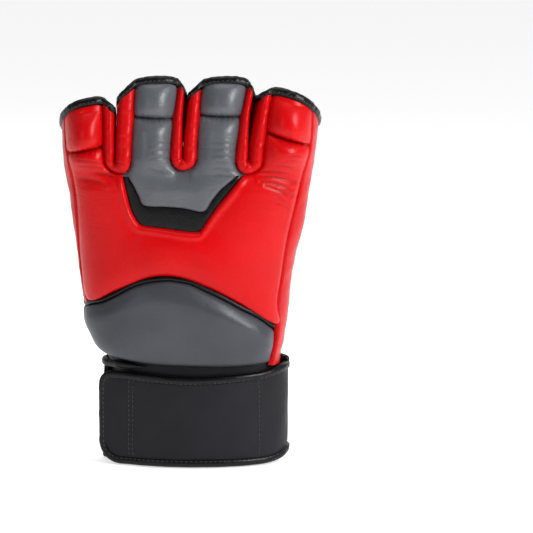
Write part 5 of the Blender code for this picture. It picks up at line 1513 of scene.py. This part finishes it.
for i, f in enumerate(FINGERS):
    REPLACED[f + "_pad_skin"] = [f + "_lower_pad", f + "_upper_pad", f + "_foam"]
    REPLACED[f + "_rim_binding_skin"] = [f + "_rim_binding"]
    REPLACED[f + "_palm_mesh_skin"] = [f + "_tube"]
    if i > 0:
        REPLACED[f + "_left_fourchette_skin"] = [f + "_left_fourchette"]
    if i < 3:
        REPLACED[f + "_right_fourchette_skin"] = [f + "_right_fourchette"]
REPLACED["little_side_finger_skin"] = ["little_left_fourchette"]
REPLACED["thumb_side_finger_skin"] = ["index_right_fourchette"]

SLOTS = {M_RED.name: "red_leather", M_REDG.name: "red_leather", M_GREY.name: "grey_leather", M_PAD.name: "grey_leather", M_SHEATH.name: "light_grey_leather",
         M_BLACK.name: "black_leather", M_STRAP.name: "strap_leather", M_MESH.name: "black_mesh", M_LINING.name: "lining"}
for ob in PIECES.values():
    s = SLOTS.get(ob.data.materials[0].name) if ob.data.materials else None
# ------------------------------------------------------------------ pieces off the fingers, thumb and strap follow the hand's body; the CAD parts they replace are hidden
for ob, f in FOLDERS:
    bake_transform(ob)
done = {ob.name for ob, _ in FOLDERS}
for n, ob in PIECES.items():
    if n not in done and n not in SPECIAL:
        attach(ob, "hand")
for n, nodes in REPLACED.items():
    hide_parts(*nodes)

# ------------------------------------------------------------------ floor, light, camera
bpy.ops.mesh.primitive_plane_add(size=8, location=(0, 0, -0.0002))
floor = bpy.context.object
floor.name = "floor"
mf, nt, b = mat_new("floor")
b.inputs["Base Color"].default_value = (0.92, 0.92, 0.92, 1)
b.inputs["Emission Color"].default_value = (1, 1, 1, 1)
b.inputs["Emission Strength"].default_value = 0.58
b.inputs["Roughness"].default_value = 0.75
floor.data.materials.append(mf)
w = bpy.data.worlds.new("studio")
bpy.context.scene.world = w
w.use_nodes = True
N, L = w.node_tree.nodes, w.node_tree.links
tc = N.new("ShaderNodeTexCoord")
sep = N.new("ShaderNodeSeparateXYZ")
ramp = N.new("ShaderNodeValToRGB")
mr = N.new("ShaderNodeMapRange")
mr.inputs[1].default_value = -0.85; mr.inputs[2].default_value = 0.75
L.new(tc.outputs["Generated"], sep.inputs[0]); L.new(sep.outputs[1], mr.inputs[0]); L.new(mr.outputs[0], ramp.inputs["Fac"])
ramp.color_ramp.elements[0].position = 0.0; ramp.color_ramp.elements[0].color = (0.08, 0.08, 0.08, 1)
ramp.color_ramp.elements[1].position = 1.0; ramp.color_ramp.elements[1].color = (0.55, 0.55, 0.55, 1)
L.new(ramp.outputs["Color"], N["Background"].inputs[0])
N["Background"].inputs[1].default_value = 1.0


def area(name, loc, target, size, power, size_y=None):
    L = bpy.data.lights.new(name, "AREA")
    L.energy = power; L.size = size
    if size_y:
        L.shape = "RECTANGLE"; L.size_y = size_y
    ob = bpy.data.objects.new(name, L)
    bpy.context.scene.collection.objects.link(ob)
    ob.location = loc
    ob.rotation_euler = (Vector(target) - Vector(loc)).to_track_quat("-Z", "Y").to_euler()
    return ob


area("key", (0.80, -0.66, 0.62), (0, 0, 0.11), 0.38, 11.6, 0.56)
area("fill", (-0.55, -0.95, 0.45), (0, 0, 0.11), 0.3, 0.9, 0.5)
area("top", (0.0, 0.1, 0.95), (0, 0, 0.11), 0.7, 3.0)
area("rim", (0.5, 0.7, 0.5), (0, 0, 0.11), 0.5, 1.5)

CAM_EL, CAM_AZ, CAM_D = 10.0, 0.0, 1.9
el, az = math.radians(CAM_EL), math.radians(CAM_AZ)
cam_d = bpy.data.cameras.new("cam")
cam = bpy.data.objects.new("cam", cam_d)
bpy.context.scene.collection.objects.link(cam)
view = Vector((math.sin(az) * math.cos(el), math.cos(az) * math.cos(el), -math.sin(el)))
right = view.cross(Vector((0, 0, 1))).normalized()
upv = right.cross(view)
aim = Vector((0, -0.028, 0.100)) + right * 0.0393 + upv * 0.0048
cam.location = aim - view * CAM_D
cam.rotation_euler = view.to_track_quat("-Z", "Y").to_euler()
cam_d.sensor_width = 36
cam_d.lens = 36 * CAM_D / 0.2737
cam_d.clip_end = 20
bpy.context.scene.camera = cam
bpy.context.scene.view_settings.view_transform = "Standard"
bpy.context.scene.view_settings.exposure = 0.0
